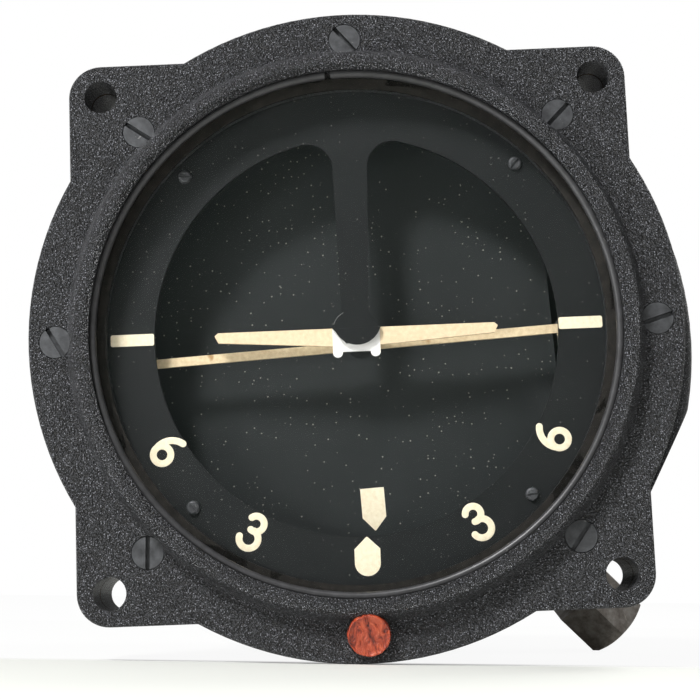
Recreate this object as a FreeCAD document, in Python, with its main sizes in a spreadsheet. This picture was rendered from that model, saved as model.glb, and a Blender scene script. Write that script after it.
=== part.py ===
import FreeCAD, Part
import math
import os
import Sketcher

# Suction-driven artificial horizon for an instrument panel.
# Millimetres.  +X right and +Z up as the pilot sees the dial, +Y away from the pilot.
# Origin: centre of the four mounting holes, on the front (panel) face of the cover flange.

DRIVING_SIZES = {
    # front cover and its mounting lugs
    "bolt_pitch": 104.8,
    "bolt_hole_radius": 3.45,
    "bolts_beyond_flange": 5.6,
    "lug_radius": 6.8,
    "cover_depth": 9.0,
    "ridge_height": 4.0,
    "ridge_to_screws": 2.5,
    "ridge_slope": 1.7,
    "ridge_crest_width": 2.0,
    "edge_round": 0.6,
    "crest_round": 0.9,
    # glass and what holds it
    "lip_over_glass": 1.4,
    "glass_depth": 2.4,
    "glass_recess": 3.8,
    "glass_gasket_depth": 0.6,
    "glass_on_seat": 2.6,
    "seat_depth": 1.8,
    "snap_wire_radius": 0.9,
    "ring_inside_glass": 0.3,
    "snap_gap_angle": 1.3,
    "snap_gap_at": 94.1,
    # mask, stem, hub and the ring behind it
    "mask_on_seat": 1.9,
    "mask_depth": 1.0,
    "mask_land": 10.0,
    "opening_corner": 5.5,
    "stem_top_half_width": 4.0,
    "stem_hub_half_width": 2.9,
    "hub_half_width": 5.1,
    "hub_top": 4.6,
    "hub_middle": 1.5,
    "hub_bottom": 1.9,
    "hub_bottom_half_width": 2.15,
    "mask_screw_inset": 2.7,
    "mask_screw_head_radius": 1.45,
    "mask_screw_head_depth": 0.8,
    "mask_screw_radius": 0.9,
    "carrier_beyond_mask": 2.0,
    "carrier_web": 1.8,
    "carrier_behind_mask": 4.3,
    "carrier_rim_width": 2.3,
    # aircraft symbol
    "wing_span_half": 30.0,
    "wing_tip_radius": 0.75,
    "wing_root_top": 1.4,
    "wing_root_bottom": 2.4,
    "saddle_half_width": 5.0,
    "saddle_bottom": 3.6,
    "foot_bottom": 4.8,
    "foot_half_width": 1.05,
    "foot_spacing_half": 4.0,
    "symbol_depth": 0.8,
    # case
    "gasket_depth": 0.8,
    "gasket_clearance": 0.5,
    "case_flange_depth": 15.2,
    "case_inside_glass": 1.2,
    "case_wall": 4.5,
    "bearing_to_end_wall": 8.0,
    "case_end_wall": 4.0,
    "case_end_round": 6.0,
    "chamber_reach": 16.5,
    "chamber_root": 8.0,
    "chamber_wall": 3.5,
    "chamber_front": 27.0,
    "chamber_depth": 42.0,
    "chamber_upper_angle": 33.0,
    "chamber_lower_angle": -12.6,
    "chamber_flank_inset": 2.3,
    "chamber_flank_angle": -34.35,
    # cover screws
    "flange_land": 5.7,
    "cover_screw_count": 8,
    "cover_screw_head_radius": 3.3,
    "cover_screw_head_depth": 2.2,
    "cover_screw_radius": 1.9,
    "cover_screw_length": 20.0,
    "slot_width": 0.9,
    "wax_height": 1.0,
    # clearances
    "seat_gap": 0.2,
    "screw_gap": 0.15,
    "running_gap": 0.05,
    "fit_gap": 0.03,
    "swing_gap": 0.8,
    # gimbal ring and roll pivots
    "gimbal_behind_bearing": 7.0,
    "gimbal_length": 94.0,
    "gimbal_to_case": 13.5,
    "gimbal_bar_width": 4.5,
    "gimbal_end_width": 5.0,
    "gimbal_half_height": 7.0,
    "gimbal_corner": 9.0,
    "eye_radius": 14.0,
    "roll_pivot_radius": 3.0,
    "roll_pivot_flange": 6.5,
    "roll_pivot_flange_depth": 1.6,
    "air_passage_radius": 1.4,
    "roll_race_radius": 8.0,
    "roll_race_width": 5.0,
    "roll_race_wall": 1.0,
    "roll_ball_count": 7,
    "front_bearing_at": 20.0,
    "bearing_behind_gimbal": 9.0,
    "bridge_depth": 6.2,
    "bridge_hub_radius": 11.5,
    "bridge_half_width": 7.0,
    "pad_length": 8.0,
    "pad_depth": 9.0,
    "rear_boss_radius": 12.0,
    # sky plate
    "sky_plate_before_bearing": 3.5,
    "sky_plate_depth": 0.8,
    "sky_plate_behind_mask": 4.4,
    "sky_plate_to_arm": 1.0,
    "sky_hub_radius": 7.0,
    # rotor can and pitch pivots
    "can_to_gimbal": 11.0,
    "can_wall": 2.0,
    "can_top": 16.5,
    "can_bottom": 19.0,
    "can_flange_width": 3.2,
    "can_flange_depth": 2.0,
    "cover_crown": 4.0,
    "pitch_pivot_radius": 2.0,
    "pitch_race_radius": 5.0,
    "pitch_race_width": 2.5,
    "pitch_race_wall": 0.65,
    "pitch_ball_count": 6,
    "trunnion_radius": 5.5,
    # horizon bar, arm and guide pin
    "guide_pin_radius": 1.2,
    "guide_pin_circle": 9.0,
    "guide_pin_play": 0.85,
    "arm_ratio": 0.195,
    "arm_outside_gimbal": 3.1,
    "arm_depth": 1.4,
    "arm_half_height": 2.4,
    "arm_hub_radius": 4.5,
    "arm_pin_radius": 1.5,
    "arm_tail": 10.5,
    "counterweight_radius": 6.0,
    "counterweight_width": 6.0,
    "bar_front": 8.9,
    "bar_depth": 1.0,
    "bar_half_height": 0.95,
    "bar_overlap": 2.0,
    # rotor
    "rotor_to_can": 3.0,
    "rotor_half_height": 8.5,
    "rotor_rim": 8.0,
    "rotor_web_half": 2.0,
    "rotor_hub_radius": 6.5,
    "bucket_count": 16,
    "bucket_radius": 2.0,
    "rotor_shaft_radius": 2.5,
    "rotor_collar_radius": 3.3,
    "rotor_hub_half_height": 6.0,
    "bucket_half_height": 4.0,
    "rotor_race_radius": 6.5,
    "rotor_race_width": 4.0,
    "rotor_race_wall": 1.0,
    "rotor_ball_count": 6,
    "jet_radius": 2.0,
    "jet_bore_radius": 0.8,
    "jet_inside_rim": 9.5,
    "jet_length": 6.5,
    "jet_to_rotor": 0.7,
    "vent_radius": 1.2,
    # erector under the rotor can
    "erector_radius": 13.5,
    "erector_height": 15.0,
    "erector_wall": 2.0,
    "vane_shaft_radius": 0.8,
    "vane_width": 5.0,
    "vane_length": 6.5,
    "vane_depth": 0.8,
    "side_vane_drop": 10.5,
    "end_vane_drop": 7.0,
    "port_width": 5.0,
    "port_height": 4.0,
    # roll stop
    "finger_radius": 22.0,
    "finger_half_width": 2.0,
    "finger_depth": 3.0,
    "peg_circle": 19.0,
    "peg_radius": 1.6,
    "buffer_radius": 3.4,
    # rear cover and air filter
    "rear_cover_radius": 27.0,
    "rear_cover_depth": 3.0,
    "rear_gasket_depth": 0.6,
    "rear_screw_circle": 22.5,
    "rear_screw_count": 6,
    "rear_screw_radius": 1.3,
    "rear_screw_head_radius": 2.5,
    "rear_screw_head_depth": 1.6,
    "rear_screw_length": 6.0,
    "filter_radius": 15.0,
    "filter_depth": 9.0,
    "filter_wall": 1.5,
    "filter_hole_radius": 1.6,
    "filter_hole_count": 10,
    # suction union
    "union_flats": 17.4,
    "union_root": 87.0,
    "union_nut_gap": 6.0,
    "union_nut_length": 13.5,
    "union_boss_reach": 17.5,
    "union_grip": 6.0,
    "pipe_bore_radius": 4.8,
    "union_tilt": 15.0,
    "union_turn": 12.0,
    "nipple_radius": 6.0,
    "nipple_bore_radius": 3.6,
    "union_boss_radius": 9.5,
    # attitude in which the parts stand
    "rest_bank": 2.84,
    "rest_pitch": -5.6,
    "bank_limit": 110.0,
    "pitch_limit": 60.0,
}

# Sizes that follow from others: each radius is the next one out, less or plus a named wall or clearance.
FOLLOWING_SIZES = {
    "flange_radius": "bolt_pitch / sqrt(2) - bolts_beyond_flange",
    "cover_screw_circle": "flange_radius - flange_land",
    "ridge_foot_radius": "cover_screw_circle - ridge_to_screws",
    "ridge_crest_outer": "ridge_foot_radius - ridge_slope",
    "ridge_crest_inner": "ridge_crest_outer - ridge_crest_width",
    "glass_radius": "ridge_crest_inner - lip_over_glass",
    "snap_ring_radius": "glass_radius - ring_inside_glass",
    "seat_radius": "glass_radius - glass_on_seat",
    "mask_radius": "seat_radius + mask_on_seat",
    "mask_screw_circle": "seat_radius - mask_screw_inset",
    "opening_radius": "seat_radius - mask_land",
    "carrier_radius": "mask_radius + carrier_beyond_mask",
    "carrier_inner_radius": "opening_radius + carrier_behind_mask",
    "gasket_inner_radius": "carrier_radius + gasket_clearance",
    "case_inner_radius": "glass_radius - case_inside_glass",
    "chamber_radius": "case_inner_radius + case_wall + chamber_reach",
    "union_boss_end": "case_inner_radius + case_wall + union_boss_reach",
    "union_nut_start": "union_boss_end + union_nut_gap",
    "gimbal_half_width": "case_inner_radius - gimbal_to_case",
    "arm_inner_face": "gimbal_half_width + arm_outside_gimbal",
    "can_radius": "gimbal_half_width - can_to_gimbal",
    "rotor_radius": "can_radius - can_wall - rotor_to_can",
    "jet_offset": "rotor_radius - jet_inside_rim",
    "sky_plate_radius": "opening_radius + sky_plate_behind_mask",
    "sky_plate_chord": "arm_inner_face - sky_plate_to_arm",
    "sky_plate_front": "front_bearing_at - sky_plate_before_bearing",
    "gimbal_front": "front_bearing_at + gimbal_behind_bearing",
    "rear_bearing_at": "gimbal_front + gimbal_length + bearing_behind_gimbal",
    "case_inner_end": "rear_bearing_at + bearing_to_end_wall",
}

doc = FreeCAD.newDocument("ArtificialHorizon")
sheet = doc.addObject("Spreadsheet::Sheet", "Sizes")
contents = list(DRIVING_SIZES.items())
contents += [(name, f"={formula}") for name, formula in FOLLOWING_SIZES.items()]
for row, (name, content) in enumerate(contents, start=1):
    sheet.set(f"A{row}", name)
    sheet.set(f"B{row}", str(content))
    sheet.setAlias(f"B{row}", name)
doc.recompute()


class Size:
    """A length or angle: its number now, and the sheet formula that a feature is bound to."""

    def __init__(self, value, formula):
        self.value = float(value)
        self.formula = formula

    def __add__(self, other):
        other = as_size(other)
        return Size(self.value + other.value, f"({self.formula} + {other.formula})")

    def __radd__(self, other):
        return as_size(other) + self

    def __sub__(self, other):
        other = as_size(other)
        return Size(self.value - other.value, f"({self.formula} - {other.formula})")

    def __rsub__(self, other):
        return as_size(other) - self

    def __mul__(self, other):
        other = as_size(other)
        return Size(self.value * other.value, f"({self.formula} * {other.formula})")

    def __rmul__(self, other):
        return as_size(other) * self

    def __truediv__(self, other):
        other = as_size(other)
        return Size(self.value / other.value, f"({self.formula} / {other.formula})")

    def __neg__(self):
        return Size(-self.value, f"(0 - {self.formula})")


def as_size(number):
    if isinstance(number, Size):
        return number
    return Size(number, f"{float(number):.6f}")


def cos(angle):
    angle = as_size(angle)
    return Size(math.cos(math.radians(angle.value)), f"cos({angle.formula})")


def sin(angle):
    angle = as_size(angle)
    return Size(math.sin(math.radians(angle.value)), f"sin({angle.formula})")


def angle_of(opposite, hypotenuse):
    ratio = opposite / hypotenuse
    return math.degrees(math.asin(ratio.value))


def diagonal(across, along_it):
    value = math.hypot(across.value, along_it.value)
    return Size(value, f"sqrt({across.formula} ^ 2 + {along_it.formula} ^ 2)")


class Sheet:
    """Reads a driving size by its name: s.flange_radius."""

    def __getattr__(self, name):
        return Size(getattr(sheet, name), f"Sizes.{name}")


s = Sheet()


# ---------------------------------------------------------------- drawing helpers

PLANE_NORMAL_SIGN = {"XY_Plane": 1, "XZ_Plane": -1, "YZ_Plane": 1}
nodes = []


def piece(label):
    body = doc.addObject("PartDesign::Body", label)
    body.Label = label
    body.AllowCompound = True
    return body


def base_plane(body, role):
    return next(item for item in body.Origin.OriginFeatures if item.Role == role)


def draw(body, role, offset=0):
    """A sketch parallel to a base plane; offset is along +X, +Y or +Z of the piece."""
    sketch = body.newObject("Sketcher::SketchObject", body.Label + "_sketch")
    sketch.AttachmentSupport = (base_plane(body, role), [""])
    sketch.MapMode = "FlatFace"
    shift = as_size(offset) * PLANE_NORMAL_SIGN[role]
    sketch.AttachmentOffset = FreeCAD.Placement(FreeCAD.Vector(0, 0, shift.value), FreeCAD.Rotation())
    sketch.setExpression("AttachmentOffset.Base.z", shift.formula)
    return sketch


def pin_point(sketch, geometry, end, x, y):
    for kind, size in (("DistanceX", as_size(x)), ("DistanceY", as_size(y))):
        index = sketch.addConstraint(Sketcher.Constraint(kind, -1, 1, geometry, end, size.value))
        sketch.setExpression(f"Constraints[{index}]", size.formula)


def polygon(sketch, points):
    corners = [FreeCAD.Vector(as_size(x).value, as_size(y).value, 0) for x, y in points]
    first = sketch.GeometryCount
    count = len(corners)
    for i in range(count):
        sketch.addGeometry(Part.LineSegment(corners[i], corners[(i + 1) % count]), False)
    for i in range(count):
        sketch.addConstraint(Sketcher.Constraint("Coincident", first + i, 2, first + (i + 1) % count, 1))
    for i, (x, y) in enumerate(points):
        pin_point(sketch, first + i, 1, x, y)
    return sketch


def rectangle(sketch, left, bottom, right, top):
    return polygon(sketch, [(left, bottom), (right, bottom), (right, top), (left, top)])


def circle(sketch, x, y, radius):
    radius = as_size(radius)
    centre = FreeCAD.Vector(as_size(x).value, as_size(y).value, 0)
    index = sketch.addGeometry(Part.Circle(centre, FreeCAD.Vector(0, 0, 1), radius.value), False)
    pin_point(sketch, index, 3, x, y)
    limit = sketch.addConstraint(Sketcher.Constraint("Radius", index, radius.value))
    sketch.setExpression(f"Constraints[{limit}]", radius.formula)
    return sketch


def arc(sketch, x, y, radius, start, end):
    """An arc about (x, y) from angle start to angle end, both pinned by their coordinates."""
    x, y, radius = as_size(x), as_size(y), as_size(radius)
    centre = FreeCAD.Vector(x.value, y.value, 0)
    whole = Part.Circle(centre, FreeCAD.Vector(0, 0, 1), radius.value)
    ends = math.radians(as_size(start).value), math.radians(as_size(end).value)
    index = sketch.addGeometry(Part.ArcOfCircle(whole, *ends), False)
    pin_point(sketch, index, 3, x, y)
    pin_point(sketch, index, 1, x + radius * cos(start), y + radius * sin(start))
    direction = "DistanceX" if abs(math.sin(ends[1])) > 0.7 else "DistanceY"
    reach = x + radius * cos(end) if direction == "DistanceX" else y + radius * sin(end)
    limit = sketch.addConstraint(Sketcher.Constraint(direction, -1, 1, index, 2, reach.value))
    sketch.setExpression(f"Constraints[{limit}]", reach.formula)
    return index


def join(sketch, first, first_end, second, second_end):
    sketch.addConstraint(Sketcher.Constraint("Coincident", first, first_end, second, second_end))


def line(sketch, start, end):
    corners = [FreeCAD.Vector(as_size(x).value, as_size(y).value, 0) for x, y in (start, end)]
    return sketch.addGeometry(Part.LineSegment(*corners), False)


def feature(body, kind, sketch, **settings):
    made = body.newObject("PartDesign::" + kind, body.Label + "_" + kind.lower())
    made.Profile = sketch
    for name, value in settings.items():
        if isinstance(value, Size):
            setattr(made, name, value.value)
            made.setExpression(name, value.formula)
        else:
            setattr(made, name, value)
    doc.recompute()
    return made


def pad(body, sketch, length, backward=False):
    """Material from the sketch along +X, +Y or +Z of the piece, or the other way if backward."""
    positive = PLANE_NORMAL_SIGN[sketch.AttachmentSupport[0][0].Role] > 0
    return feature(body, "Pad", sketch, Length=as_size(length), Reversed=positive == backward)


def cut(body, sketch, depth, backward=False):
    """Takes material from the sketch along +X, +Y or +Z of the piece, or the other way if backward."""
    positive = PLANE_NORMAL_SIGN[sketch.AttachmentSupport[0][0].Role] > 0
    before = body.Shape.Volume
    made = feature(body, "Pocket", sketch, Length=as_size(depth), Reversed=positive != backward)
    if body.Shape.Volume >= before:
        raise RuntimeError(f"{body.Label}: a cut takes nothing away")
    return made


def revolve(body, sketch, axis, angle=360.0):
    return feature(body, "Revolution", sketch, ReferenceAxis=(sketch, [axis]), Angle=as_size(angle))


def groove(body, sketch, axis, angle=360.0, middle=False):
    before = body.Shape.Volume
    settings = {"ReferenceAxis": (sketch, [axis]), "Angle": as_size(angle), "Midplane": middle}
    made = feature(body, "Groove", sketch, **settings)
    if body.Shape.Volume >= before:
        raise RuntimeError(f"{body.Label}: a groove takes nothing away")
    return made


def around(body, made, sketch, count, axis="N_Axis"):
    pattern = body.newObject("PartDesign::PolarPattern", body.Label + "_pattern")
    pattern.Originals = [made]
    pattern.Axis = (sketch, [axis])
    pattern.Angle = 360.0
    pattern.Occurrences = int(count.value)
    pattern.setExpression("Occurrences", count.formula)
    body.Tip = pattern
    doc.recompute()
    return pattern


def edges(body, wanted):
    shape = body.Tip.Shape
    return [f"Edge{i + 1}" for i, edge in enumerate(shape.Edges) if wanted(edge)]


def soften(body, kind, wanted, size):
    """A PartDesign Fillet or Chamfer on the edges that wanted() picks."""
    names = edges(body, wanted)
    if not names:
        raise RuntimeError(f"{body.Label}: no edge to {kind.lower()}")
    base = body.Tip
    made = body.newObject("PartDesign::" + kind, body.Label + "_" + kind.lower())
    made.Base = (base, names)
    prop = "Radius" if kind == "Fillet" else "Size"
    setattr(made, prop, as_size(size).value)
    made.setExpression(prop, as_size(size).formula)
    body.Tip = made
    doc.recompute()
    return made


def is_round(edge, radius):
    return hasattr(edge.Curve, "Radius") and abs(edge.Curve.Radius - as_size(radius).value) < 1e-4


def at_depth(edge, depth):
    """True where the whole edge lies at one Y."""
    box = edge.BoundBox
    depth = as_size(depth).value
    return abs(box.YMin - depth) < 1e-4 and abs(box.YMax - depth) < 1e-4


def along(edge, direction):
    if edge.Curve.TypeId != "Part::GeomLine":
        return False
    return abs(edge.Curve.Direction.dot(FreeCAD.Vector(*direction))) > 0.9999


def together(label, members):
    """Like pieces that share one node, each still a solid of its own."""
    group = doc.addObject("Part::Compound", label)
    group.Label = label
    group.Links = members
    return group


# ---------------------------------------------------------------- where the moving parts stand

X_AXIS = FreeCAD.Vector(1, 0, 0)
Y_AXIS = FreeCAD.Vector(0, 1, 0)
Z_AXIS = FreeCAD.Vector(0, 0, 1)
TO_PILOT = FreeCAD.Rotation(X_AXIS, 90)
TO_REAR = FreeCAD.Rotation(X_AXIS, -90)
TO_RIGHT = FreeCAD.Rotation(Y_AXIS, 90)
TO_LEFT = FreeCAD.Rotation(Y_AXIS, -90)
UPRIGHT = FreeCAD.Rotation()


def turned_about(point, axis, angle):
    """The placement that turns a part about an axis through point."""
    turn = FreeCAD.Placement(FreeCAD.Vector(), FreeCAD.Rotation(axis, angle))
    there = FreeCAD.Placement(point, FreeCAD.Rotation())
    return there * turn * there.inverse()


pitch_axis_at = s.gimbal_front + s.gimbal_length / 2
arm_pivot_at = s.gimbal_front + s.gimbal_length - s.gimbal_end_width / 2
rest_arm = -s.arm_ratio * s.rest_pitch
side_vane_at = -s.can_bottom - s.side_vane_drop
end_vane_at = -s.can_bottom - s.end_vane_drop

CASE = FreeCAD.Placement()
GIMBAL = turned_about(FreeCAD.Vector(), Y_AXIS, -s.rest_bank.value)
PITCH_POINT = FreeCAD.Vector(0, pitch_axis_at.value, 0)
CAN = GIMBAL * turned_about(PITCH_POINT, X_AXIS, s.rest_pitch.value)
ARM = GIMBAL * turned_about(FreeCAD.Vector(0, arm_pivot_at.value, 0), X_AXIS, rest_arm.value)
SIDE_VANE_POINT = FreeCAD.Vector(0, pitch_axis_at.value, side_vane_at.value)
END_VANE_POINT = FreeCAD.Vector(0, pitch_axis_at.value, end_vane_at.value)
SIDE_VANES = CAN * turned_about(SIDE_VANE_POINT, X_AXIS, -s.rest_pitch.value)
END_VANES = CAN * turned_about(END_VANE_POINT, Y_AXIS, s.rest_bank.value)


def seat(item, frame=CASE, at=(0, 0, 0), turn=UPRIGHT, keep=True):
    """Puts a piece at its seat; at is in the level instrument, frame is the part that carries it."""
    point = FreeCAD.Vector(*[as_size(number).value for number in at])
    item.Placement = frame * FreeCAD.Placement(point, turn)
    if keep:
        nodes.append(item)
    return item


# ---------------------------------------------------------------- depths along the roll axis

crest_front = -s.ridge_height
glass_front = crest_front + s.glass_recess
glass_back = glass_front + s.glass_depth
seat_front = glass_back + s.glass_gasket_depth
mask_front = seat_front + s.seat_depth
mask_back = mask_front + s.mask_depth
cover_back = s.cover_depth
case_front = cover_back + s.gasket_depth
case_flange_back = case_front + s.case_flange_depth
case_back = s.case_inner_end + s.case_end_wall
case_outer_radius = s.case_inner_radius + s.case_wall
lug_half = s.bolt_pitch / 2 + s.lug_radius
glass_bore = s.glass_radius + s.seat_gap
BOLT_CORNERS = [(1, 1), (1, -1), (-1, -1), (-1, 1)]


def flange_plate(body, front, depth):
    """The round flange with four lugs, whose corners are rounded about the bolt holes."""
    disc = draw(body, "XZ_Plane", front)
    circle(disc, 0, 0, s.flange_radius)
    pad(body, disc, depth)
    lugs = draw(body, "XZ_Plane", front)
    rectangle(lugs, -lug_half, -lug_half, lug_half, lug_half)
    pad(body, lugs, depth)

    def lug_corner(edge):
        middle = edge.BoundBox.Center
        outside = min(abs(middle.x), abs(middle.z)) > lug_half.value - 0.01
        return along(edge, (0, 1, 0)) and outside

    soften(body, "Fillet", lug_corner, s.lug_radius)


def bolt_holes(body, front, depth):
    holes = draw(body, "XZ_Plane", front)
    for right, up in BOLT_CORNERS:
        circle(holes, s.bolt_pitch / 2 * right, s.bolt_pitch / 2 * up, s.bolt_hole_radius)
    cut(body, holes, depth)


def ring_of_holes(body, front, depth, circle_radius, radius, count):
    hole = draw(body, "XZ_Plane", front)
    circle(hole, circle_radius, 0, radius)
    around(body, cut(body, hole, depth), hole, count)


# ---------------------------------------------------------------- front cover

def front_cover():
    body = piece("front_cover")
    flange_plate(body, 0, s.cover_depth)

    def front_rim(edge):
        return at_depth(edge, 0) and not is_round(edge, s.ridge_foot_radius)

    soften(body, "Fillet", front_rim, s.edge_round)
    ridge = draw(body, "XY_Plane")
    polygon(ridge, [(s.seat_radius, s.seat_depth), (s.seat_radius, crest_front),
                    (s.ridge_crest_outer, crest_front), (s.ridge_foot_radius, 0),
                    (s.ridge_foot_radius, s.seat_depth)])
    revolve(body, ridge, "V_Axis")
    soften(body, "Fillet", lambda edge: is_round(edge, s.ridge_crest_outer), s.crest_round * 2)
    soften(body, "Fillet", lambda edge: is_round(edge, s.ridge_foot_radius) and at_depth(edge, 0),
           s.crest_round)
    front = crest_front - 1
    carrier_bore = s.carrier_radius + s.seat_gap
    mask_bore = s.mask_radius + s.seat_gap
    bore = draw(body, "XY_Plane")
    polygon(bore, [(0, front), (s.ridge_crest_inner, front), (s.ridge_crest_inner, crest_front),
                   (glass_bore, crest_front + s.crest_round), (glass_bore, seat_front),
                   (s.seat_radius, seat_front), (s.seat_radius, mask_front), (mask_bore, mask_front),
                   (mask_bore, mask_back), (carrier_bore, mask_back), (carrier_bore, cover_back + 1),
                   (0, cover_back + 1)])
    groove(body, bore, "V_Axis")
    ring_depth = s.snap_wire_radius * 2 + s.seat_gap
    ring_channel = draw(body, "XY_Plane")
    rectangle(ring_channel, s.seat_radius, glass_front - ring_depth,
              s.snap_ring_radius + s.snap_wire_radius + s.seat_gap, glass_front)
    groove(body, ring_channel, "V_Axis")
    bolt_holes(body, -1, s.cover_depth + 2)
    ring_of_holes(body, crest_front, s.ridge_height + s.cover_screw_head_depth, s.cover_screw_circle,
                  s.cover_screw_head_radius + s.screw_gap, s.cover_screw_count)
    ring_of_holes(body, 0, s.cover_depth + 1, s.cover_screw_circle,
                  s.cover_screw_radius + s.screw_gap, s.cover_screw_count)
    return seat(body)


def snap_ring():
    """Round spring wire, sprung into its groove, with the gap near the top."""
    body = piece("snap_ring")
    section = draw(body, "XY_Plane")
    circle(section, s.snap_ring_radius, glass_front - s.snap_wire_radius, s.snap_wire_radius)
    revolve(body, section, "V_Axis", 360 - s.snap_gap_angle)
    turn = FreeCAD.Rotation(Y_AXIS, (s.snap_gap_angle / 2 - s.snap_gap_at).value)
    return seat(body, turn=turn)


def flat_ring(label, front, depth, inner, outer):
    body = piece(label)
    ring = draw(body, "XZ_Plane")
    circle(ring, 0, 0, outer)
    if inner is not None:
        circle(ring, 0, 0, inner)
    pad(body, ring, depth)
    return seat(body, at=(0, front, 0))


def cover_gasket():
    body = piece("cover_gasket")
    flange_plate(body, 0, s.gasket_depth)
    middle = draw(body, "XZ_Plane")
    circle(middle, 0, 0, s.gasket_inner_radius)
    cut(body, middle, s.gasket_depth)
    bolt_holes(body, 0, s.gasket_depth)
    ring_of_holes(body, 0, s.gasket_depth, s.cover_screw_circle,
                  s.cover_screw_radius + s.screw_gap, s.cover_screw_count)
    return seat(body, at=(0, cover_back, 0))


# ---------------------------------------------------------------- mask, symbol and carrier

def dial_mask():
    """A thin plate: a ring, with the tapered stem and the hub for the symbol hanging into its opening."""
    body = piece("dial_mask")
    ring = draw(body, "XZ_Plane")
    circle(ring, 0, 0, s.mask_radius)
    circle(ring, 0, 0, s.opening_radius)
    pad(body, ring, s.mask_depth)
    stem_top = s.opening_radius + s.opening_corner
    stem = draw(body, "XZ_Plane")
    polygon(stem, [(s.stem_top_half_width, stem_top), (-s.stem_top_half_width, stem_top),
                   (-s.stem_hub_half_width, s.hub_top), (-s.hub_half_width, s.hub_middle),
                   (-s.hub_bottom_half_width, -s.hub_bottom), (s.hub_bottom_half_width, -s.hub_bottom),
                   (s.hub_half_width, s.hub_middle), (s.stem_hub_half_width, s.hub_top)])
    pad(body, stem, s.mask_depth)

    def stem_root(edge):
        middle = edge.BoundBox.Center
        radius = math.hypot(middle.x, middle.z)
        beside_stem = 1 < abs(middle.x) < s.stem_top_half_width.value + 1
        at_opening = abs(radius - s.opening_radius.value) < 0.01
        return along(edge, (0, 1, 0)) and beside_stem and at_opening and middle.z > 0

    soften(body, "Fillet", stem_root, s.opening_corner)
    screw_hole = draw(body, "XZ_Plane")
    offset = s.mask_screw_circle * cos(45)
    for right, up in BOLT_CORNERS:
        circle(screw_hole, offset * right, offset * up, s.mask_screw_radius + s.screw_gap)
    cut(body, screw_hole, s.mask_depth)
    return seat(body, at=(0, mask_front, 0))


def mask_carrier():
    """The ring behind the mask, clamped between the cover and the case by its rim."""
    body = piece("mask_carrier")
    rim_inner = s.carrier_radius - s.carrier_rim_width
    web_back = mask_back + s.carrier_web
    section = draw(body, "XY_Plane")
    polygon(section, [(s.carrier_inner_radius, mask_back), (s.carrier_radius, mask_back),
                      (s.carrier_radius, case_front), (rim_inner, case_front), (rim_inner, web_back),
                      (s.carrier_inner_radius, web_back)])
    revolve(body, section, "V_Axis")
    tapped = draw(body, "XZ_Plane", mask_back)
    offset = s.mask_screw_circle * cos(45)
    for right, up in BOLT_CORNERS:
        circle(tapped, offset * right, offset * up, s.mask_screw_radius + s.fit_gap)
    cut(body, tapped, s.carrier_web)
    return seat(body)


def aircraft_symbol():
    """Sheet-metal wings joined by a saddle with two feet, fixed to the back of the hub."""
    body = piece("aircraft_symbol")
    tip = s.wing_tip_radius
    wings = draw(body, "XZ_Plane")
    polygon(wings, [(-s.wing_span_half, tip), (-s.wing_span_half + tip, -tip),
                    (-s.saddle_half_width, -s.wing_root_bottom), (-s.saddle_half_width, -s.saddle_bottom),
                    (s.saddle_half_width, -s.saddle_bottom), (s.saddle_half_width, -s.wing_root_bottom),
                    (s.wing_span_half - tip, -tip), (s.wing_span_half, tip),
                    (s.wing_span_half - tip, s.wing_root_top), (s.saddle_half_width, s.wing_root_top),
                    (-s.saddle_half_width, s.wing_root_top), (-s.wing_span_half + tip, s.wing_root_top)])
    pad(body, wings, s.symbol_depth)
    for side in (-1, 1):
        foot = draw(body, "XZ_Plane")
        middle = s.foot_spacing_half * side
        rectangle(foot, middle - s.foot_half_width, -s.foot_bottom + s.foot_half_width,
                  middle + s.foot_half_width, -s.wing_root_bottom)
        pad(body, foot, s.symbol_depth)
        toe = draw(body, "XZ_Plane")
        circle(toe, middle, -s.foot_bottom + s.foot_half_width, s.foot_half_width)
        pad(body, toe, s.symbol_depth)
    return seat(body, at=(0, mask_back, 0))


# ---------------------------------------------------------------- screws

def slotted_screw(label, head_radius, head_depth, radius, length, domed=False):
    """A screw about its own +Z, with the top of a flat head, or the seat of a domed one, at the origin."""
    body = piece(label)
    profile = draw(body, "XZ_Plane")
    top = head_depth if domed else as_size(0)
    under = as_size(0) if domed else -head_depth
    polygon(profile, [(0, top), (head_radius, top), (head_radius, under), (radius, under),
                      (radius, -length), (0, -length)])
    revolve(body, profile, "V_Axis")
    if domed:
        soften(body, "Fillet", lambda edge: is_round(edge, head_radius) and edge.BoundBox.ZMin > 0.01,
               head_depth * 0.7)
    slot = draw(body, "XY_Plane", top)
    width = s.slot_width * head_radius / s.cover_screw_head_radius
    rectangle(slot, -head_radius - 1, -width / 2, head_radius + 1, width / 2)
    cut(body, slot, head_depth / 2, backward=True)
    return body


def screw_group(label, places, turn, head_radius, head_depth, radius, length, domed=False):
    """Screws at places, (point, slot angle) each, kept in one node."""
    members = []
    for number, (point, slot_angle) in enumerate(places, start=1):
        screw = slotted_screw(f"{label}_{number}", head_radius, head_depth, radius, length, domed)
        seat(screw, at=point, turn=turn * FreeCAD.Rotation(Z_AXIS, slot_angle), keep=False)
        members.append(screw)
    return seat(together(label, members))


def cover_screws():
    slot_angles = [17, 45, -50, -35, -60, 88, 10, 55]
    places = []
    for i in range(int(s.cover_screw_count.value)):
        angle = 360.0 * i / s.cover_screw_count.value
        point = (s.cover_screw_circle * cos(angle), 0, s.cover_screw_circle * sin(angle))
        places.append((point, slot_angles[i % len(slot_angles)]))
    return screw_group("cover_screws", places, TO_PILOT, s.cover_screw_head_radius,
                       s.cover_screw_head_depth, s.cover_screw_radius, s.cover_screw_length)


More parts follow.
